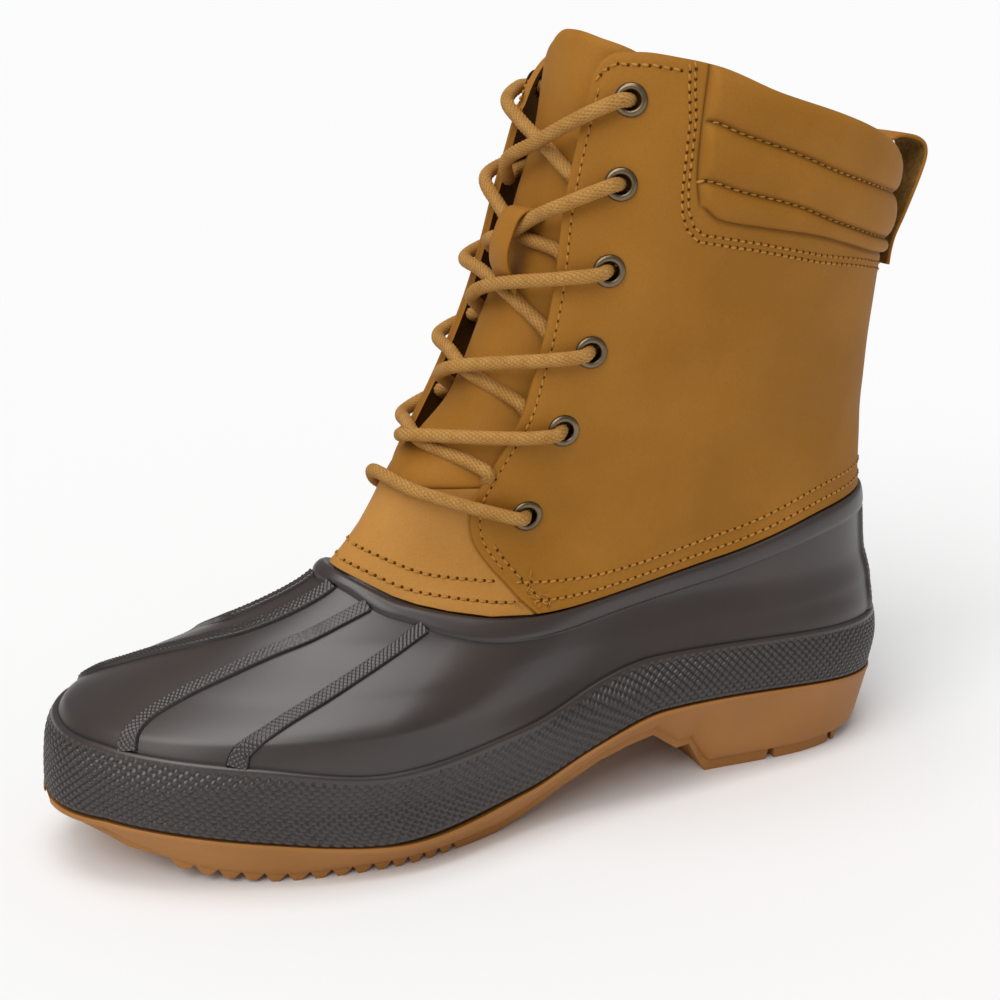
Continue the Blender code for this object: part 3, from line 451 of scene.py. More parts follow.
def closed_sheet(outer, inner, keep=None, around=False):
    """Points and quads of a sheet with both faces, and each quad's kind: 1 on its inner face, 0 elsewhere."""
    rows, cols = outer.shape[:2]
    count = rows * cols
    cells = cols if around else cols - 1
    keep = np.ones((rows - 1, cells), bool) if keep is None else keep
    front = grid_faces(rows, cols, keep, around)
    back = grid_faces(rows, cols, keep, around, count)[:, ::-1]
    index = np.arange(count).reshape(rows, cols)
    right = np.roll(index, -1, 1) if around else index[:, 1:]
    left = index if around else index[:, :-1]
    corners = [left[:-1], right[:-1], right[1:], left[1:]]
    wide = np.pad(keep, 1)
    if around:
        wide[1:-1, 0], wide[1:-1, -1] = keep[:, -1], keep[:, 0]
    beyond = [wide[:-2, 1:-1], wide[1:-1, 2:], wide[2:, 1:-1], wide[1:-1, :-2]]
    rims = []
    for k in range(4):
        edge = keep & ~beyond[k]
        a, b = corners[k][edge], corners[(k + 1) % 4][edge]
        rims.append(np.stack([b, a, a + count, b + count], -1))
    rims = np.concatenate(rims)
    points = np.concatenate([outer.reshape(-1, 3), inner.reshape(-1, 3)])
    kinds = np.repeat([0, 1, 0], [len(front), len(back), len(rims)])
    return points, np.concatenate([front, back, rims]), kinds


def tube_faces(count, sides, turned=False):
    """Quads round a tube and then its two end faces, which look the other way where turned is set."""
    ends = [list(range(sides))[::-1], [(count - 1) * sides + j for j in range(sides)]]
    return grid_faces(count, sides, None, True).tolist() + [end[::-1] if turned else end for end in ends]


def sheet_piece(name, outer, inner, dark, mats, node, sharp, keep=None, around=False, third=None):
    """A piece with two faces, painted shade marks outside only, and a third finish on the outer cells marked by third.
    """
    points, faces, kinds = closed_sheet(outer, inner, keep, around)
    if third is not None:
        kinds[:keep.sum()][third[keep]] = 2
    piece(name, points, faces, mats, [node], sharp, np.concatenate([dark.ravel(), 0 * dark.ravel()]), kinds)


def spaced(marks):
    """Values between marks, each mark (value, cells up to the next)."""
    out = []
    for (a, n), (b, _) in zip(marks[:-1], marks[1:]):
        out += [a + (b - a) * k / n for k in range(n)]
    return out + [marks[-1][0]]


def smooth_path(points, step):
    """A smooth path through a few points, in steps of about that many mm."""
    points = np.asarray(points, float)
    run = run_along(points)
    slope = np.zeros_like(points)
    slope[1:-1] = (points[2:] - points[:-2]) / (run[2:] - run[:-2])[:, None]
    slope[0], slope[-1] = (points[1] - points[0]) / run[1], (points[-1] - points[-2]) / (run[-1] - run[-2])
    at = np.linspace(0, run[-1], max(int(run[-1] / step), 2))
    i = np.clip(np.searchsorted(run, at, side="right") - 1, 0, len(run) - 2)
    h = (run[i + 1] - run[i])[:, None]
    return hermite((at - run[i])[:, None] / h, h, points[i], points[i + 1], slope[i], slope[i + 1])


def frames(path):
    """Directions along, across and up at each point of a path, without twist."""
    along = unit(np.gradient(path, axis=0))
    side = np.cross(along[0], [0.3, 0.2, 1.0])
    sides = []
    for a in along:
        side = unit(side - a * (side @ a))
        sides.append(side)
    sides = np.array(sides)
    return along, sides, np.cross(along, sides)


def edge_distance(u, z):
    """Distance in mm behind the facing's edge."""
    return (np.abs(u) - edge_at(u, z)) / share_per_mm(np.abs(u), z)


def raised(u, z):
    """The inner facing's lift, fading just in front of its edge."""
    return lift(u, z) * ease((edge_distance(u, z) + LIFT_FADE) / LIFT_FADE)


def pad_edge(z):
    return curve(PAD_EDGE, z)


# Height in mm of the leather's lines at each share round.
LINES = {
    "band": lambda u: band_height(u) + GAP + 0.35,
    "throat": lambda u: curve(THROAT_LINE, np.abs(u)),
    "pad": lambda u: curve(PAD_FOOT, np.abs(u)),
    "two": lambda u: curve(CHANNEL_2, np.abs(u)),
    "one": lambda u: curve(CHANNEL_1, np.abs(u)),
    "collar": lambda u: np.where((u < 0) & (u > -0.15), curve(INNER_COLLAR, np.abs(u)),
                                 curve(COLLAR_LINE, np.abs(u))),
}

# Soft creases listed for the leather: share round and height at both ends, width and depth in mm. A depth
# above 0 is a ridge and below 0 a trough.
CREASES = [
    (0.10, 128, 0.20, 120, 9, -0.7), (0.12, 140, 0.22, 134, 10, 0.5), (0.20, 150, 0.30, 138, 12, -0.5),
    (0.26, 122, 0.36, 130, 12, -0.6), (0.30, 140, 0.40, 150, 12, 0.5), (0.16, 98, 0.24, 92, 8, -0.4),
    (0.03, 104, 0.10, 98, 7, -0.5), (-0.03, 102, -0.10, 98, 7, -0.4), (0.22, 180, 0.32, 172, 14, -0.5),
    (0.38, 120, 0.46, 128, 12, -0.5), (0.34, 168, 0.44, 164, 14, 0.4), (-0.14, 130, -0.24, 122, 10, -0.6),
    (-0.28, 124, -0.38, 132, 12, -0.6), (-0.26, 150, -0.36, 142, 12, 0.5), (-0.38, 160, -0.46, 154, 12, -0.4),
]


def creases(u, z):
    """Depth in mm of the listed creases."""
    out = np.zeros(np.shape(u))
    for u0, z0, u1, z1, wide, deep in CREASES:
        du, dz = (u1 - u0) * ROUND_MM, z1 - z0
        long = math.hypot(du, dz)
        a, b = (u - u0) * ROUND_MM, z - z0
        t = np.clip((a * du + b * dz) / long ** 2, 0, 1)
        off = np.hypot(a - t * du, b - t * dz - 2.5 * np.sin(3.1 * t))
        out += deep * hump(off / wide) * np.sin(np.pi * np.clip(t * 0.9 + 0.05, 0, 1))
    return out


def roll(share, sharp=2.4):
    """Cross section of one padded roll, 0 at both seams."""
    return np.clip(1 - np.abs(2 * share - 1) ** sharp, 0, 1) ** 0.7


def upper_relief(u, z):
    """(height of the leather's face over the form in mm, how much painted shade lies in its seams, its grooves and at
    the facing's edge).
    """
    away = np.abs(u)
    d_edge = edge_distance(u, z)
    out = -QUARTER_STEP * (1 - ease((d_edge + 0.3) / 0.6))
    out = out - 0.30 * hump((d_edge - EDGE_SEAM) / 1.2) * ease((d_edge + 0.1) / 0.6)
    d_pad = (away - pad_edge(z)) / share_per_mm(away, z)
    foot, two, one, top = (LINES[k](u) for k in ("pad", "two", "one", "collar"))
    inside = ease((d_pad + 0.2) / 3.2)
    low, middle, high = (z - foot) / (two - foot), (z - two) / (one - two), (z - one) / (top - one)
    rise = np.where(z < two, 2.3 * roll(low), np.where(z < one, 3.2 * roll(middle), 3.0 * roll(high, 3.0)))
    rise = np.where(z < foot, 0, rise) * inside
    seam = hump((z - two) / 1.5) + hump((z - one) / 1.5)
    # Painted shade in the pad's two seams.
    pad_dark = 0.6 * seam * ease((d_pad + 0.5) / 1.5)
    rim = ease(1 - (top - z) / 1.6)
    out = out + rise - 0.5 * rim * (away < pad_edge(z))
    # The grooves at the pad's front and foot are sunk and darkened with painted shade.
    front_line = hump((d_pad + 0.3) / 0.8) * ease((z - foot + 2) / 4)
    foot_line = hump((z - foot + 0.3) / 0.9) * ease((d_pad + 2) / 4)
    groove = np.maximum(front_line, foot_line)
    # Painted shade where the facing's edge steps down onto the vamp.
    edge_dark = 0.45 * hump((d_edge + 0.5) / 0.8)
    out = out - 0.5 * groove + creases(u, z) * ease((foot - z) / 10) * ease((z - band_height(u)) / 14)
    dark = np.maximum(np.maximum(pad_dark, 0.75 * groove), edge_dark)
    return out, dark


def upper_grid(rows, stations):
    """u and z of every grid point: rows are (line below, line above, share), stations (stretch, share, mm, side)."""
    part = np.array([s[0] for s in stations])
    share, offset, sign = (np.array([s[k] for s in stations]) for k in (1, 2, 3))
    z = np.full((len(rows), len(stations)), 150.0)
    for _ in range(9):
        edge = np.where(sign > 0, edge_share(1, z), edge_share(-1, z))
        marks = np.stack([z * 0, edge, np.maximum(pad_edge(z), edge + 0.02), z * 0 + 0.5])
        low = np.take_along_axis(marks, np.broadcast_to(part, z.shape)[None], 0)[0]
        high = np.take_along_axis(marks, np.broadcast_to(part + 1, z.shape)[None], 0)[0]
        u = low + (high - low) * share
        u = u + offset * share_per_mm(np.clip(u, 0.02, 0.48), z)
        for r, (below, above, f) in enumerate(rows):
            z[r] = LINES[below](sign * u[r]) * (1 - f) + LINES[above](sign * u[r]) * f
    return sign * u, z


def make_upper():
    """The leather shaft, with rows between its lines and stations that crowd at its edges."""
    spans = [
        ("band", "throat", [0, 0.008] + spaced([(0.03, 22), (1, 0)])[:-1]),
        ("throat", "pad", spaced([(0, 50), (0.97, 3), (1, 0)])[:-1]),
        ("pad", "two", [0, 0.03, 0.08, 0.16, 0.28, 0.42, 0.56, 0.7, 0.82, 0.9, 0.95, 0.98]),
        ("two", "one", [0, 0.02, 0.05, 0.1, 0.18, 0.28, 0.4, 0.52, 0.64, 0.75, 0.84, 0.91, 0.96, 0.985]),
        ("one", "collar", [0, 0.015, 0.04, 0.09, 0.17, 0.27, 0.4, 0.53, 0.66, 0.78, 0.87, 0.93, 0.97, 0.99, 1.0]),
    ]
    rows = [(low, high, share) for low, high, shares in spans for share in shares]
    throat_count = 9
    half = [(0, s, 0.0) for s in np.linspace(0.1, 0.9, throat_count)]
    half += [(1, 0.0, mm) for mm in (-1.2, -0.35, -0.15, 0.05, 0.3, 0.9, 1.8, 2.6, 3.3, 4.0)]
    half += [(1, s, 0.0) for s in spaced([(0.16, 19), (0.96, 0)])]
    half += [(2, 0.0, mm) for mm in (-1.6, -0.9, -0.4, 0.2, 0.9, 1.8, 2.8, 4.0, 5.6)]
    half += [(2, s, 0.0) for s in spaced([(0.055, 76), (1.0, 0)])]
    stations = [(*h, -1) for h in half[-2::-1]] + [(0, 0.0, 0.0, 1)] + [(*h, 1) for h in half]
    u, z = upper_grid(rows, stations)
    out, dark = upper_relief(u, z)
    d_edge = edge_distance(u, z)
    outer = skin(u, z, out + raised(u, z))
    inner = skin(u, z, raised(u, z) - LEATHER)
    middle, open_half = len(half) - 1, throat_count + 3
    keep = np.ones((len(rows) - 1, len(stations)), bool)
    for r in range(len(rows) - 1):
        if rows[r][0] != "band":
            keep[r, middle - open_half:middle + open_half] = False
    centre = (outer[:-1] + outer[1:]) / 2
    centre = (centre + np.roll(centre, -1, 1)) / 2
    for row in range(len(EYELETS)):
        for sign in (1, -1):
            keep &= np.linalg.norm(centre - facing(*eyelet_place(row, sign)), axis=-1) > EYELET_HOLE
    # The vamp's cells in front of the facing's edge take the leather painted paler for the light on it.
    sheet_piece("upper_skin", outer, inner, dark, [LEATHER_MAT, SHADED_LINING_MAT, LIT_VAMP_MAT], "upper", 60,
                keep, True, (d_edge < -0.2)[:-1])


def cross_hatch(run, height, pitch):
    """Raised diamonds between two sets of slanting grooves, from 0 in the grooves to 1 on their flats."""
    s, h = run / pitch * np.pi, height / pitch * np.pi * 1.15
    return np.clip(1.7 * np.abs(np.sin(s + h)) * np.abs(np.sin(s - h)), 0, 1)


def shell_stations():
    """Shares round the shell, close together at the ribs and the heel strip."""
    parts = [np.arange(-0.5, -0.146, 0.0026), np.arange(-0.146, 0.178, 0.00105), np.arange(0.178, 0.434, 0.0026),
             np.arange(0.434, 0.450, 0.0011), np.arange(0.450, 0.4995, 0.0026)]
    return np.concatenate(parts)


def make_shell():
    """The rubber's outside with its collar band and heel strip, and its lap under the leather."""
    line = shell_stations()
    gum, rand, band = gum_on_form(line), line_on_form(RAND_LINE, line), band_height(line)
    wide = curve(BAND_WIDTH, np.abs(line))
    lip = band - wide
    under = -(LEATHER + GAP + 1.3)
    # Rows from the foot up: height, rise over the form, painted shade (over the rand and under the band's lip), drop of
    # the inner face, its depth, on the side.
    wall = [0.0, 0.02, 0.05] + spaced([(0.08, 56), (0.95, 0)]) + [0.965, 0.98, 1.0]
    rows = [(gum, 0.2, 0, 0, -RUBBER, 0), ((gum + rand) / 2, 0.2, 0, 0, -RUBBER, 0),
            (rand - 0.6, 0, 0.8, 0, -RUBBER, 0)]
    rows += [(rand + 0.6 + (lip - 1.1 - rand) * k, 0, 0.6 * (k in (0.0, 1.0)), 0, -RUBBER, 1) for k in wall]
    rows += [(lip - 0.25, 0.1, 0.8, 0, -RUBBER, 0), (lip, 0.7, 0.4, 0, -RUBBER, 0),
             (lip + 0.35, 1.15, 0, 0, -RUBBER, 0), (lip + 0.2 * wide + 0.3, 1.45, 0, 0, -RUBBER, 0),
             (lip + 0.5 * wide, 1.5, 0, 0, -RUBBER, 0), (lip + 0.72 * wide, 1.4, 0, 0, -RUBBER, 0),
             (band - 0.6, 1.1, 0, 0, -RUBBER, 0), (band - 0.15, 0.8, 0, 1.5, -RUBBER, 0),
             (band, 0.3, 0, 2.0, under - 1.4, 0), (band, under, 0, 0, under - 1.4, 0),
             (band + 9, under, 0, 0, under - 1.4, 0)]
    z = np.array([row[0] for row in rows])
    rise, dark, drop, depth, side = (np.array([row[k] for row in rows], float)[:, None] + 0 * z for k in range(1, 6))
    u = np.broadcast_to(line, z.shape)
    d_strip = (np.abs(u) - 0.4405) / share_per_mm(np.abs(u), z)
    hatch = cross_hatch(d_strip, z * 0.9, 2.0) * ease((d_strip - 0.4) / 0.4) * ease((4.6 - d_strip) / 0.4)
    rise += np.where(side > 0, 0.9 * ease((np.abs(u) - 0.438) / 0.004) + 0.35 * hatch, 0)
    # Painted shade along the heel strip's edge and in its knurl's grooves.
    strip_dark = 0.7 * hump(d_strip / 0.8) + 0.4 * hump((d_strip - 2.5) / 2.6) * (1 - hatch)
    dark = np.maximum(dark, np.where(side > 0, strip_dark, 0))
    outer = skin(u, z, rise)
    sheet_piece("shell_body", outer, skin(u, z - drop, depth), dark, [SHELL_MAT, CLOTH_MAT], "shell",
                50, around=True)


def rib_line(i, way):
    """(u, z) down the middle of one toe rib, from the rand up to the band's lip."""
    ends = []
    for top in (False, True):
        z = 60.0
        for _ in range(14):
            u = float(curve(FAN, z) + way * curve(RIBS, z, i))
            goal = band_height(u) - curve(BAND_WIDTH, abs(u)) - 0.1 if top else line_on_form(RAND_LINE, u) + 0.1
            z = 0.5 * z + 0.5 * float(goal)
        ends.append(z)
    z = np.linspace(*ends, 240)
    return curve(FAN, z) + way * curve(RIBS, z, i), z


def make_ribs():
    """The four knurled ribs over the toe, each a strip with flat sides."""
    across = np.linspace(-1, 1, 27)
    points, faces, dark = [], [], []
    for i in (1, 2):
        for way in (1, -1):
            u, z = rib_line(i, way)
            path = form(u, z)
            run = run_along(path)
            side = np.cross(normal(u, z), unit(np.gradient(path, axis=0)))
            # Steps in u and z that together move one mm across the rib.
            by_u = (form(u + 0.001, z) - form(u - 0.001, z)) / 0.002
            by_z = form(u, z + 0.5) - form(u, z - 0.5)
            uu, zz, uz = (by_u * by_u).sum(1), (by_z * by_z).sum(1), (by_u * by_z).sum(1)
            su, sz = (side * by_u).sum(1), (side * by_z).sum(1)
            room = uu * zz - uz * uz
            share = np.linspace(0, 1, len(u))
            wide = across * (RIB_HALF * (0.88 + 0.45 * hump(share / 0.3)))[:, None]
            profile = ease((1 - np.abs(across)) / 0.2) + 0 * wide
            hatch = cross_hatch(wide, run[:, None], 1.9) * ease((0.86 - np.abs(across)) / 0.08)
            rise = -0.35 + (RIB_RISE + 0.3) * profile + 0.34 * hatch * profile
            skin_u = u[:, None] + wide * ((su * zz - sz * uz) / room)[:, None]
            skin_z = z[:, None] + wide * ((sz * uu - su * uz) / room)[:, None]
            faces.append(grid_faces(*wide.shape, start=sum(len(p) for p in points)))
            points.append(skin(skin_u, skin_z, rise).reshape(-1, 3))
            # Painted shade on the ribs' flanks and in their knurl's grooves.
            dark.append(np.maximum(0.8 * (1 - profile), 0.55 * (1 - hatch)).ravel())
    piece("toe_ribs", np.concatenate(points), np.concatenate(faces), SHELL_MAT,
          dark=np.concatenate(dark))


def make_rand():
    """The knurled band round the shell's foot, with a plain lip at its top."""
    u = np.linspace(-0.5, 0.5, 1801)
    low, high = gum_on_form(u) - 1.3, line_on_form(RAND_LINE, u)
    shares = np.array([0, 0.02, 0.05] + spaced([(0.08, 40), (0.93, 0)]) + [0.95, 0.97, 0.985, 1.0])
    z = low + (high + 0.3 - low) * shares[:, None]
    uu = np.broadcast_to(u, z.shape)
    run = run_along(form(u, (low + high) / 2))
    pitch = run[-1] / round(run[-1] / 3.4)
    cells = cross_hatch(run[None], z - low, pitch)
    fade = ease((z - low - 0.4) / 1.2) * ease((high - 1.5 - z) / 1.0)
    edge = np.sqrt(np.clip(1 - (1 - np.clip((z - low) / 1.0, 0, 1)) ** 2, 0, 1))
    edge = edge * np.sqrt(np.clip(1 - (1 - np.clip((high + 0.3 - z) / 1.1, 0, 1)) ** 2, 0, 1))
    rise = (RAND_RISE + 0.35) * edge + (0.95 * cells - 0.75) * fade
    # Painted shade in the knurl's grooves and along the band's two edges.
    dark = 0.95 * fade * (1 - cells) ** 1.5 + 0.6 * (1 - edge)
    outer = skin(uu, z, rise)
    piece("shell_rand", outer, grid_faces(len(shares), len(u)), SHELL_MAT, dark=dark)


def make_tongue():
    """The tongue behind the throat, softly waved."""
    us = np.array(spaced([(-0.095, 30), (-0.03, 50), (0.105, 8), (0.125, 0)]))
    top = curve(TONGUE_TOP, us)
    shares = np.concatenate([np.linspace(0, 0.97, 170), [0.98, 0.988, 0.995, 1.0]])
    z = 106.0 + (top[None] - 106.0) * shares[:, None]
    u = np.broadcast_to(us, z.shape)
    edge = np.minimum((us - us[0]) / 0.006, 1) * np.minimum((us[-1] - us) / 0.006, 1)
    round_top = 1 - ease((top[None] - z) / 2.0)
    depth = tongue_depth(u, z) + 0.9 * round_top + 0.6 * (1 - ease(edge))
    waves = 0.5 * np.sin(u * 60 + z * 0.05) * hump((z - 245) / 22) + 0.35 * np.sin(z * 0.16 + u * 25) * (z < 235)
    outer = skin(u, z, -depth + waves)
    inner = skin(u, z, -depth - 3.0 + 1.2 * round_top)
    # Painted shade along the line where the tongue comes out from under the throat's edge.
    dark = 0.2 * hump((z - 120.2) / 0.6)
    sheet_piece("tongue_skin", outer, inner, dark, [LEATHER_MAT, SHADED_LINING_MAT], "tongue", 60)


def sole_stations(back, front):
    """Positions along the sole in mm, as in the solids: its ends, the heel's pads, the arch and the teeth."""
    ends = [0.0006, 0.004, 0.012, 0.025, 0.045, 0.07, 0.10]
    xs = [back + (front - back) * t for t in ends] + [front - (front - back) * t for t in ends[:5]]
    for start, end in PAD_SLOTS:
        xs += [start, start + 0.3, end, end + 0.3]
    xs += [HEEL_END, HEEL_END + 0.4, 38.0, 68.0, HEEL_BLOCK, HEEL_BLOCK + 0.6, 91.0, 97.0]
    xs += list(np.arange(108.0, TOOTH_FIRST - 4, 11.0))
    for k in range(TOOTH_COUNT):
        start = TOOTH_FIRST + TOOTH_PITCH * k
        xs += [start, start + TOOTH_TIP, start + 0.6 * TOOTH_PITCH]
    return np.array(sorted(set(np.round(xs, 3))))


def sole_base(xs):
    """(height of the sole's underside, height without teeth and slots) in mm at each station."""
    arch = curve(TREAD_LINE, xs / LENGTH)
    breast = np.clip((xs - HEEL_BLOCK) * 1.6, 0.0, 13.5)
    rest = np.where(xs < 100.0, breast, arch)
    rest = np.where(xs < 12.0, 0.05 * (12.0 - xs) ** 2, rest)
    base = rest.copy()
    base[xs < HEEL_END + 0.1] += 4.4
    for start, end in PAD_SLOTS:
        base[(xs > start + 0.1) & (xs < end + 0.1)] = 4.4
    along = (xs - TOOTH_FIRST) / TOOTH_PITCH
    on_tip = (along % 1.0 < TOOTH_TIP / TOOTH_PITCH + 0.02) | (along % 1.0 > 0.98)
    base[(along > -0.02) & (along < TOOTH_COUNT) & ~on_tip] += 3.0
    return base, rest


# Side of the sole from its top inwards to its foot: mm out from the form's edge, share of the wall's lean, share of
# the pad's step and height: from the top (1), from the wall's foot (0) or from the underside (-1), with mm added.
SOLE_SIDE = [(-2.5, 0, 0, 1, 0.0), (1.3, 0, 0, 1, 0.0), (1.8, 0, 0, 1, -0.1), (2.15, 0, 0, 1, -0.5),
             (2.2, 0, 0, 1, -1.2), (2.0, 0.1, 0, 1, -2.2), (1.6, 0.3, 0, 0.7, 0), (1.2, 0.5, 0, 0.5, 0),
             (0.8, 0.7, 0, 0.3, 0), (0.4, 0.86, 0, 0.12, 0), (0.1, 0.95, 0, 0, 0.9), (-0.1, 1, 0, 0, 0.25),
             (-0.5, 1, 0, 0, -0.1), (0, 1, 1, 0, -0.4), (-0.15, 1, 1, -1, 0.6), (-0.5, 1, 1, -1, 0.0)]


def make_outsole():
    """The gum sole with its rounded edges, the ledge's top painted darker than the rest as shade."""
    back, front = form(0.5, 26)[0], form(0.0, 24)[0]
    marks = sole_stations(back, front)
    base_at, rest_at = sole_base(marks)
    heel_at = marks <= HEEL_BLOCK + 1
    low_at = np.minimum(rest_at + np.where(heel_at, 5.2, 3.4), gum_height(marks) - 4.0)
    under_at = np.minimum(base_at, low_at - 0.6)
    fine = np.concatenate([marks] + [marks[:-1] + np.diff(marks) * k for k in (0.12, 0.3, 0.5, 0.7, 0.88)])
    xs = np.unique(np.round(fine, 3))
    xs = xs[np.concatenate([[True], np.diff(xs) > 0.12])]
    t = np.clip((xs - back) / (front - back), 0.0004, 0.9996)
    u = np.arccos(2 * t - 1) / (2 * np.pi)
    top, low, under = gum_height(xs), np.interp(xs, marks, low_at), np.interp(xs, marks, under_at)
    heel = np.interp(xs, marks, heel_at.astype(float))
    spine = curve(SPINE, xs / LENGTH)
    rings = []
    for sign in (1, -1):
        p = skin(sign * u, top, 0.0)
        flat = unit((skin(sign * u, top, 1.0) - p) * [1, 1, 0])
        p = p * [1, 1, 0]
        room = np.minimum(1.0, np.abs(p[:, 1] - spine) / 16.0) * np.interp(xs, *TAPER.T)
        pad = (1.0 + heel) * np.minimum(1.0, room)
        ring = []
        for out, lean, step, level, mm in SOLE_SIDE:
            high = under + mm if level < 0 else low + (top - low) * level + mm
            high = np.maximum(high, under)
            ring.append(p + flat * (out - room * lean - pad * step)[:, None] + high[:, None] * [0, 0, 1])
        middle = p * [1, 0.5, 0] + np.stack([0 * xs, 0.5 * spine, under], 1)
        rings.append(ring + [middle])
    loops = np.stack(rings[0] + rings[1][::-1], 1)
    count, ring = loops.shape[:2]
    faces = tube_faces(count, ring)
    column = np.arange(len(faces)) % ring
    column = np.minimum(column, ring - 2 - column)
    # The ledge's top, the first two columns of each side, takes the finish painted darker for shade.
    piece("sole_skin", loops, faces, [GUM_MAT, LEDGE_SHADE_MAT], ["outsole"], 32,
          second=np.where(column <= 1, 1, 0))


def over(u, z, rise=0.0):
    """Centre of a lace lying on the tongue at u, z."""
    return skin(np.array(u), np.array(z), -tongue_depth(np.array(u), np.array(z)) + LACE_RADIUS + OVER_TONGUE + rise)


def on_facing(u, z, rise=0.0):
    """Centre of a lace lying on a facing at u, z."""
    return facing(u, z, LACE_RADIUS + OVER_FACING + rise)


# Each crossing of the lace, from the top: drop in mm from its eyelets to the crossing, to the lower strand's end by
# the outer facing and to the upper strand's end by the inner facing, then how high that end's middle and tip lie.
CROSSINGS = np.array([[15, 23, 29, 4.4, 3.4], [17, 21, 28, 2.8, 1.8], [7, 18, 19.5, 2.6, 1.6],
                      [7, 17, 17.5, 2.4, 1.5], [4.5, 12.5, 9.5, 0.8, 0.4]])


def lace_route():
    """The whole lace in mm: in at the outer top eyelet, down by every eyelet and back up to the inner top one."""
    strands = {}
    for k, (drop, outer_drop, inner_drop, middle_rise, end_rise) in enumerate(CROSSINGS):
        u, z = eyelet_place(k, 1)
        iu, _ = eyelet_place(k, -1)
        mm = float(share_per_mm(u, z))
        outer_z, inner_z = z - outer_drop, z - inner_drop
        edge, inner_edge = float(edge_share(1, z - 4)), -float(edge_share(-1, z - 4))
        outer_end = float(edge_share(1, outer_z)) - 2.0 * mm
        inner_end = -float(edge_share(-1, inner_z)) + 3.0 * mm
        reach = 1.0 - (edge + 1.5 * mm - 0.01) / (u - 0.01)
        strands[1, k] = [facing(u, z, -4.0), facing(u - 0.6 * mm, z, -0.6), facing(u - 3.4 * mm, z - 0.6, 3.3),
                         on_facing(edge + 1.5 * mm, z - reach * drop, 0.9), over(0.01, z - drop, 4.7),
                         over((0.01 + inner_end) / 2, z - (drop + inner_drop) / 2, middle_rise),
                         over(inner_end, inner_z, end_rise)]
        if k == 1:
            strands[1, k].insert(4, over(0.038, z - 0.66 * drop, 3.6))
            strands[1, k][5] = over(0.012, z - drop, 4.0)
        strands[-1, k] = [facing(iu, z, -4.0), facing(iu + 0.6 * mm, z, -0.6), facing(iu + 3.4 * mm, z - 0.6, 3.4),
                          on_facing(inner_edge + 0.6 * mm, z - 5.0, 0.6), over(-0.03, z - 0.62 * drop, 2.6),
                          over(0.01, z - drop, -0.2), over(outer_end, outer_z, 0.0)]

    def hidden(sign, k):
        """From a strand's end under the facing on that side to the next eyelet."""
        u, z = eyelet_place(k, sign)
        end = strands[-sign, k - 1][-1]
        edge = sign * float(edge_share(sign, z + 4))
        return [facing(edge + sign * 0.006, (end[2] + z) / 2 + 1.0, -5.2), facing(u, z, -5.4)]

    def trail(side):
        """From the top eyelet on that side down to the lowest one that this end of the lace reaches."""
        out = []
        for k in range(len(CROSSINGS)):
            out += strands[side, k] + hidden(-side, k + 1)
            side = -side
        return out

    (u, z), (iu, _) = eyelet_place(5, 1), eyelet_place(5, -1)
    mm = float(share_per_mm(u, z))
    bar = [facing(u, z, -4.0), facing(u - 0.6 * mm, z, -0.4), facing(u - 3.6 * mm, z + 0.8, 4.0),
           on_facing(0.132, 113, 0.9), on_facing(0.10, 116.5, 0.6), skin(0.055, 119.5, 2.8), skin(0.0, 121, 2.6),
           skin(-0.035, 119.0, 2.5), skin(-0.065, 114.5, 2.5), skin(-0.10, 110.0, 3.2),
           facing(iu + 3.6 * mm, z + 0.8, 4.0), facing(iu + 0.6 * mm, z, -0.4), facing(iu, z, -4.0)]
    # After five crossings the outer end comes down on the inner side, so the bar runs from there.
    return np.array([np.asarray(p, float).reshape(3) for p in trail(1) + bar[::-1] + trail(-1)[::-1]])


def braided(path, radius, strands=10, step_mm=2.3, sides=24):
    """Points, faces and painted shade between the strands of a round braid along a path."""
    along, side, up = frames(path)
    run = run_along(path)
    angle = np.linspace(0, 2 * np.pi, sides + 1)[:-1]
    a = angle[None] * strands / 2 + run[:, None] / step_mm * np.pi
    b = angle[None] * strands / 2 - run[:, None] / step_mm * np.pi
    cells = np.abs(np.sin(a)) * np.abs(np.sin(b))
    r = radius * (0.88 + 0.14 * cells ** 0.6)
    ring = np.cos(angle)[None, :, None] * side[:, None] + np.sin(angle)[None, :, None] * up[:, None]
    points = path[:, None] + ring * r[..., None]
    return points.reshape(-1, 3), tube_faces(len(path), sides, True), (0.65 * (1 - cells) ** 2.0).ravel()


def make_lace():
    """The whole lace, in place of its solids."""
    path = smooth_path(lace_route(), 0.42)
    points, faces, dark = braided(path, LACE_RADIUS)
    nodes = ["lace_bar"] + ["lace_crossing_%d" % k for k in range(1, 6)]
    piece("lace", points, faces, LACE_MAT, nodes, dark=dark)


# Section of an eyelet: distance from its middle and height over the leather in mm.
EYELET_SECTION = [(3.05, -2.8), (3.05, -0.2), (3.12, 0.45), (3.35, 0.85), (3.7, 1.05), (4.2, 1.08), (4.7, 0.95),
                  (5.1, 0.68), (5.35, 0.35), (5.4, 0.05), (5.2, 0.0)]


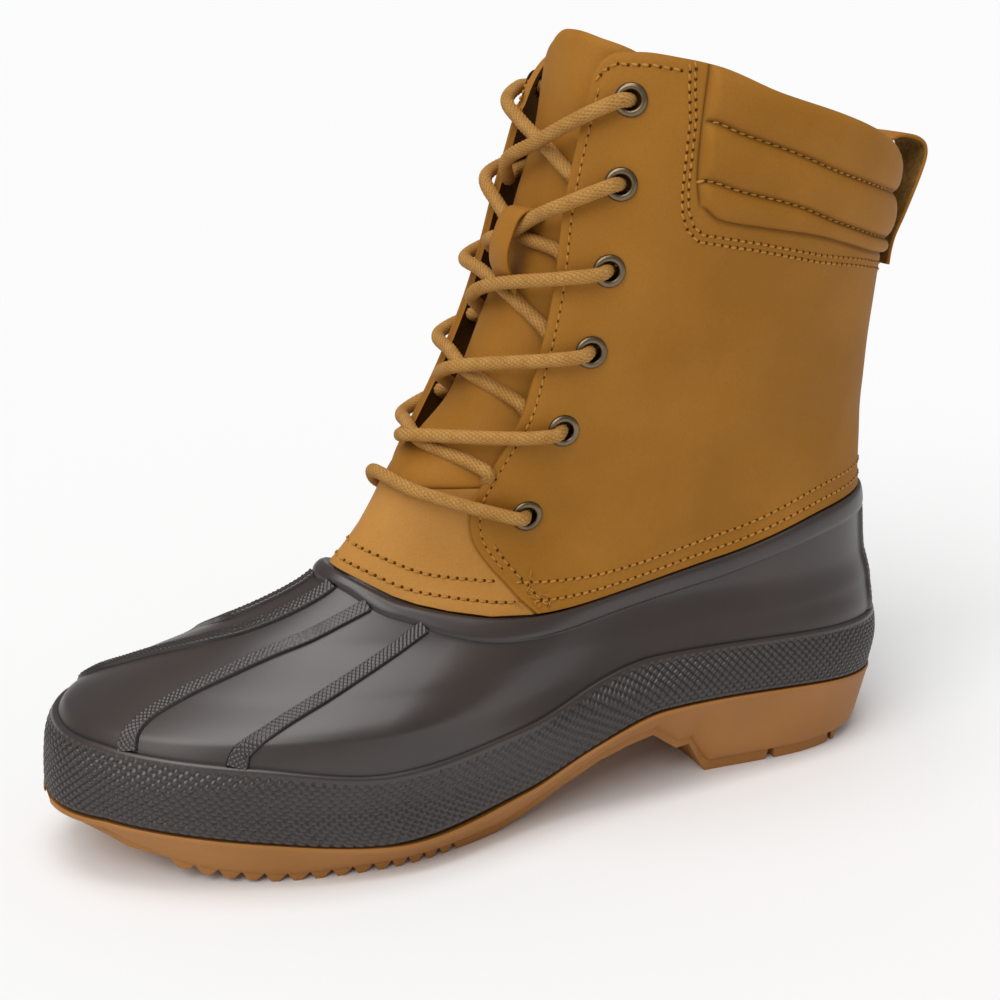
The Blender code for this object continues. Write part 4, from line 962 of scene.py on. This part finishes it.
def make_eyelets():
    """Each side's rolled eyelets, with a dark cup of painted shade behind each one."""
    sides, cup_sides = 40, 24
    section = np.array(EYELET_SECTION)
    angle = 2 * np.pi * np.arange(sides) / sides
    shade = [0.9 if h < 0 else (0.5 if r < 3.3 or r > 5.2 else 0.0) for r, h in EYELET_SECTION] * sides
    for side, sign in (("l", 1), ("m", -1)):
        verts, faces = [], []
        cup, cup_faces = [], []
        for row in range(len(EYELETS)):
            u, z = eyelet_place(row, sign)
            base, axis = facing(u, z, 0.15), normal(u, z)
            across = unit(np.cross(axis, [0, 0, 1.0]))
            up = np.cross(across, axis)
            index = len(section) * sides * row + np.arange(sides * len(section)).reshape(sides, -1)
            after = np.roll(index, -1, 0)
            faces += np.stack([index[:, :-1], after[:, :-1], after[:, 1:], index[:, 1:]], -1).reshape(-1, 4).tolist()
            rays = np.cos(angle)[:, None] * across + np.sin(angle)[:, None] * up
            verts.append(base + axis * section[:, 1:] + rays[:, None] * section[:, :1])
            # A dark disc behind the hole, standing in for the shade inside the eyelet.
            cup += [base + axis * -2.7 + (np.cos(a) * across + np.sin(a) * up) * 3.2
                    for a in np.linspace(0, 2 * np.pi, cup_sides + 1)[:-1]]
            cup_faces.append([cup_sides * row + j for j in range(cup_sides)])
        names = ["eyelet_%s_%d" % (side, row + 1) for row in range(len(EYELETS))]
        piece("eyelets_" + side, verts, faces, BRASS_MAT, names, 60, shade * len(EYELETS))
        piece("eyelet_shade_cups_" + side, cup, cup_faces, HOLE_SHADE_MAT)


def between(run, table, at):
    """The table's row at a distance along its run."""
    return np.array([np.interp(at, run, table[:, i]) for i in range(3)])


class Stitches:
    """Sewn threads gathered into one mesh, each a short lump along its seam with a dark lump of painted shade for the
    needle hole at its end.
    """

    def __init__(self):
        self.points, self.faces, self.holes, self.hole_faces = [], [], [], []
        self.count = 0

    def lump(self, store, faces, centre, along, across, up, half, wide, high):
        rings = [(-1.0, 0.0), (-0.8, 0.62), (-0.35, 0.98), (0.35, 0.98), (0.8, 0.62), (1.0, 0.0)]
        start = len(store)
        for t, r in rings:
            for k in range(6):
                a = 2 * np.pi * k / 6
                ray = across * wide * np.cos(a) + up * high * np.sin(a)
                store.append(centre + along * half * t + ray * max(r, 0.08))
        faces += grid_faces(len(rings), 6, None, True, start).tolist()

    def row(self, us, zs, out, pitch=3.1, length=2.3, wide=0.48, high=0.5, side=1.0, slant=0.12):
        """A row of stitches along the line through these places, lying out mm over the form."""
        us, zs = np.asarray(us, float), np.asarray(zs, float)
        t = np.linspace(0, len(us) - 1, 60 * len(us))
        u, z = np.interp(t, range(len(us)), us), np.interp(t, range(len(us)), zs)
        height = out(u, z) if callable(out) else np.full(len(u), out)
        path = skin(u, z, height)
        up = normal(u, z)
        run = run_along(path)
        count = max(int(run[-1] / pitch), 1)
        for k in range(count):
            at = (k + 0.5) / count * run[-1]
            wobble = math.sin(12.9898 * (self.count + 1)) * 0.5
            p, n = between(run, path, at), between(run, up, at)
            a = unit(between(run, path, at + 0.6) - between(run, path, at - 0.6))
            a = unit(a + unit(np.cross(n, a)) * (slant * side + 0.06 * wobble))
            n = unit(np.cross(a, np.cross(n, a)))
            b = np.cross(n, a)
            half = length / 2 * (1 + 0.08 * wobble)
            self.lump(self.points, self.faces, p + n * 0.05, a, b, n, half, wide, high)
            # A flat dark lump of painted shade stands for the needle hole.
            self.lump(self.holes, self.hole_faces, p + a * (half + 0.3), a, b, n, 0.55, 0.55, 0.16)
            self.count += 1

    def finish(self):
        piece("stitches", self.points, self.faces, THREAD_MAT)
        piece("needle_hole_shade", self.holes, self.hole_faces, HOLE_SHADE_MAT)


def leather_face(u, z):
    """Height of the leather's face with the inner facing's lift, for what lies on it."""
    return upper_relief(u, z)[0] + raised(u, z)


# Double row behind the eyelets and under the pad: share round, height in mm.
PAD_SEAM = np.array([[0.153, 256.5], [0.158, 248], [0.165, 238.5], [0.170, 226], [0.174, 216], [0.179, 209],
                     [0.187, 203.5], [0.199, 199.5], [0.248, 195], [0.308, 188.5], [0.411, 180.5], [0.490, 176.5]])


def make_stitches():
    """Every sewn row of both sides: facings, collar corner, pad, its two seams, the foot and the quarter's front."""
    sew = Stitches()
    for sign in (1, -1):
        z = np.linspace(249 if sign > 0 else 240, 92, 60)
        edge = edge_at(sign * 0.1, z)
        u = sign * (edge + EDGE_SEAM * share_per_mm(edge, z))
        sew.row(u, z, leather_face, side=sign)
        top = np.array([[0.0665, 250], [0.072, 253.6], [0.085, 255.9], [0.12, 255.6], [0.148, 254.0]])
        top[:, 1] -= 0 if sign > 0 else [12, 12, 11, 4, 2]
        sew.row(sign * top[:, 0], top[:, 1], leather_face, side=-sign)
        t = np.linspace(0, len(PAD_SEAM) - 1, 90)
        u, z = (np.interp(t, range(len(PAD_SEAM)), PAD_SEAM[:, i]) for i in (0, 1))
        sew.row(sign * u, z, leather_face, side=sign)
        du, dz = np.gradient(u) * ROUND_MM, np.gradient(z)
        long = np.hypot(du, dz)
        sew.row(sign * (u - dz / long * 2.3 / ROUND_MM), z + du / long * 2.3, leather_face, side=sign, length=2.0)
        for line in (CHANNEL_1, CHANNEL_2):
            u = np.linspace(0.183, 0.497, 60)
            sew.row(sign * u, curve(line, u), lambda a, b: leather_face(a, b) + 0.15, pitch=3.5, length=2.9,
                    wide=0.55, high=0.42, side=sign, slant=0.2)
        u = np.linspace(0.004, 0.496, 160)
        for rise_front, rise_back in ((2.3, 3.6), (7.0, 9.0)):
            rise = rise_front + (rise_back - rise_front) * ease((u - 0.10) / 0.12)
            z = band_height(u) + 0.7 + rise
            seam = edge_at(sign * 0.1, z)
            for part in (u < seam, u > seam):
                pick = part & (np.abs(u - seam) > 0.003)
                sew.row(sign * u[pick], z[pick], leather_face, side=sign)
        z = np.linspace(101, band_height(0.2) + 2, 14)
        edge = edge_at(sign * 0.1, z)
        sew.row(sign * (edge + 6.2 * share_per_mm(edge, z)), z, leather_face, side=sign)
    sew.finish()


def fray():
    """Loose thread ends at the foot of the quarter's front seam on the outer side."""
    points, faces = [], []
    seeds = [(0.192, 83.5), (0.196, 82.0), (0.200, 80.5), (0.188, 85.5), (0.205, 79.5), (0.198, 83.0), (0.185, 88.0),
             (0.203, 82.0), (0.193, 80.5), (0.209, 80.0), (0.190, 81.5), (0.182, 90.5)]
    for k, (u, z) in enumerate(seeds):
        wave = math.sin(7.3 * k + 1.0)
        base = facing(u, z, leather_face(np.array(u), np.array(z)) + 0.1)
        n, along = normal(u, z), np.array([-0.8 * wave, 0.1, -0.6 - 0.3 * math.cos(4.1 * k)])
        path = [base - along, base + n * 0.9, base + n * 1.3 + along * 1.6,
                base + n * (0.8 + 0.5 * wave) + along * 3.2 + np.array([wave, 0, 0.5])]
        path = smooth_path(path, 0.35)
        _, side, up = frames(path)
        start = len(points)
        for p, s, v in zip(path, side, up):
            for j in range(5):
                a = 2 * np.pi * j / 5
                points.append(p + (s * np.cos(a) + v * np.sin(a)) * 0.16)
        faces += grid_faces(len(path), 5, None, True, start).tolist()
    piece("loose_threads", points, faces, THREAD_MAT)


def strap(name, path, across, width, thick, mats, nodes):
    """A soft strap: path of its inner face, direction across it, width and thickness in mm, rounded edges."""
    path = smooth_path(path, 0.8)
    across = unit(np.asarray(across, float))
    out = unit(np.cross(unit(np.gradient(path, axis=0)), across))
    half, edge = width / 2, thick * 0.35
    ring = [(-half + edge, 0.0), (0.0, 0.0), (half - edge, 0.0), (half, edge), (half, thick - edge),
            (half - edge, thick), (half * 0.4, thick * 1.04), (-half * 0.4, thick * 1.04), (-half + edge, thick),
            (-half, thick - edge), (-half, edge)]
    points = np.stack([path + across * a + out * b for a, b in ring], 1)
    count, sides = points.shape[:2]
    faces = tube_faces(count, sides)
    column = np.arange(len(faces)) % sides
    inside = (column <= 1) & (np.arange(len(faces)) < (count - 1) * sides)
    piece(name, points, faces, mats, nodes, 50, second=np.where(inside, 1, 0))


def make_straps():
    """The lace's keeper, the pull loop and the strip down the back. Each path's heights are in mm."""
    centre = EYELETS[1][0] - CROSSINGS[1][0]
    u = 0.016
    heights = [(6.6, 0.5), (7.4, 3.8), (6.4, 7.6), (3.8, 9.4), (-1, 10.0), (-6, 9.8), (-10, 8.2), (-13, 5.2),
               (-15.5, 2.4), (-18, 1.0)]
    path = [skin(np.array(u), centre + dz, rise - tongue_depth(np.array(u), centre + dz)) for dz, rise in heights]
    across = form(0.05, centre) - form(-0.03, centre)
    strap("keeper_strap", path, across, 11.5, 1.3, [LEATHER_MAT, LEATHER_MAT], ["lace_keeper"])
    top = float(curve(COLLAR_LINE, 0.5))
    outer = form(0.5, top)[0]
    heights = [(LEATHER + 3.8, -14), (LEATHER + 3.8, -2), (LEATHER + 2.0, 4.5), (-2.0, 8.0), (-9.0, 7.4), (-13.4, 5.0),
               (-14.3, 1.5), (-12.8, -4.0), (-9.9, -11.2), (-5.9, -20.2), (-2.4, -27.5), (-1.0, -33.0), (-0.4, -38.0)]
    path = [(outer + dx, 1.0, top + dz) for dx, dz in heights]
    strap("pull_strap", path, (0, -1, 0), 18.0, 1.5, [LEATHER_MAT, SUEDE_MAT], ["pull_loop"])
    zs = np.linspace(100, 168, 9)
    path = skin(np.full(9, 0.5), zs, np.full(9, 0.1))
    strap("back_strip", path, (0, 1, 0), 7.0, 1.0, [STRIP_MAT, STRIP_MAT], ["backstay"])


def plane(name, size, mat):
    """A flat square on the ground, from its middle so many metres each way."""
    mesh = bpy.data.meshes.new(name)
    mesh.from_pydata([(-size, -size, 0), (size, -size, 0), (size, size, 0), (-size, size, 0)], [], [(0, 1, 2, 3)])
    obj = bpy.data.objects.new(name, mesh)
    mesh.materials.append(mat)
    bpy.context.scene.collection.objects.link(obj)


# The camera's place found from the photograph: turn from the outer side to the toe and height angle in degrees, and
# distance in metres.
CAMERA_TURN = 25.6
CAMERA_RISE = 17.8
CAMERA_FAR = 0.6007
CAMERA_AIM = (0.00366, -0.00359, 0.1057)
CAMERA_LENS = 61.44


def looking(name, data, turn, rise, far):
    """A new object that looks at the boot from that turn and height angle in degrees, and distance in metres."""
    a, e = math.radians(turn), math.radians(rise)
    back = Vector((math.sin(a) * math.cos(e), math.cos(a) * math.cos(e), math.sin(e)))
    obj = bpy.data.objects.new(name, data)
    obj.location = Vector(CAMERA_AIM) + back * far
    obj.rotation_euler = back.to_track_quat("Z", "Y").to_euler()
    bpy.context.scene.collection.objects.link(obj)
    return obj


def sun(name, turn, rise, power, wide):
    """Soft light from that turn and height angle, as wide as so many degrees of the sky."""
    data = bpy.data.lights.new(name, "SUN")
    data.energy = power
    data.angle = math.radians(wide)
    looking(name, data, turn, rise, 1.2)


def make_stage():
    """A pale floor, an even sky, two soft suns and the camera."""
    mat, _, shader = new_material("pale_floor", 0.9, 0.0)
    shader.inputs["Base Color"].default_value = linear("#F6F6F6")
    plane("floor", 30.0, mat)
    world = bpy.data.worlds.new("studio")
    world.use_nodes = True
    sky = world.node_tree.nodes["Background"]
    sky.inputs["Color"].default_value = linear("#FFFFFF")
    sky.inputs["Strength"].default_value = 0.34
    scene = bpy.context.scene
    scene.world = world
    sun("key", 56, 46, 1.6, 45)
    sun("top", 60, 84, 1.1, 35)
    data = bpy.data.cameras.new("camera")
    data.lens = CAMERA_LENS
    data.sensor_width = 36.0
    data.clip_start = 0.01
    scene.camera = looking("camera", data, CAMERA_TURN, CAMERA_RISE, CAMERA_FAR)
    scene.view_settings.view_transform = "Standard"
    scene.render.resolution_x = 1000
    scene.render.resolution_y = 1000


for old in list(bpy.data.objects):
    bpy.data.objects.remove(old)
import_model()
make_upper()
make_shell()
make_ribs()
make_rand()
make_tongue()
make_outsole()
make_lace()
make_eyelets()
make_stitches()
fray()
make_straps()
make_stage()
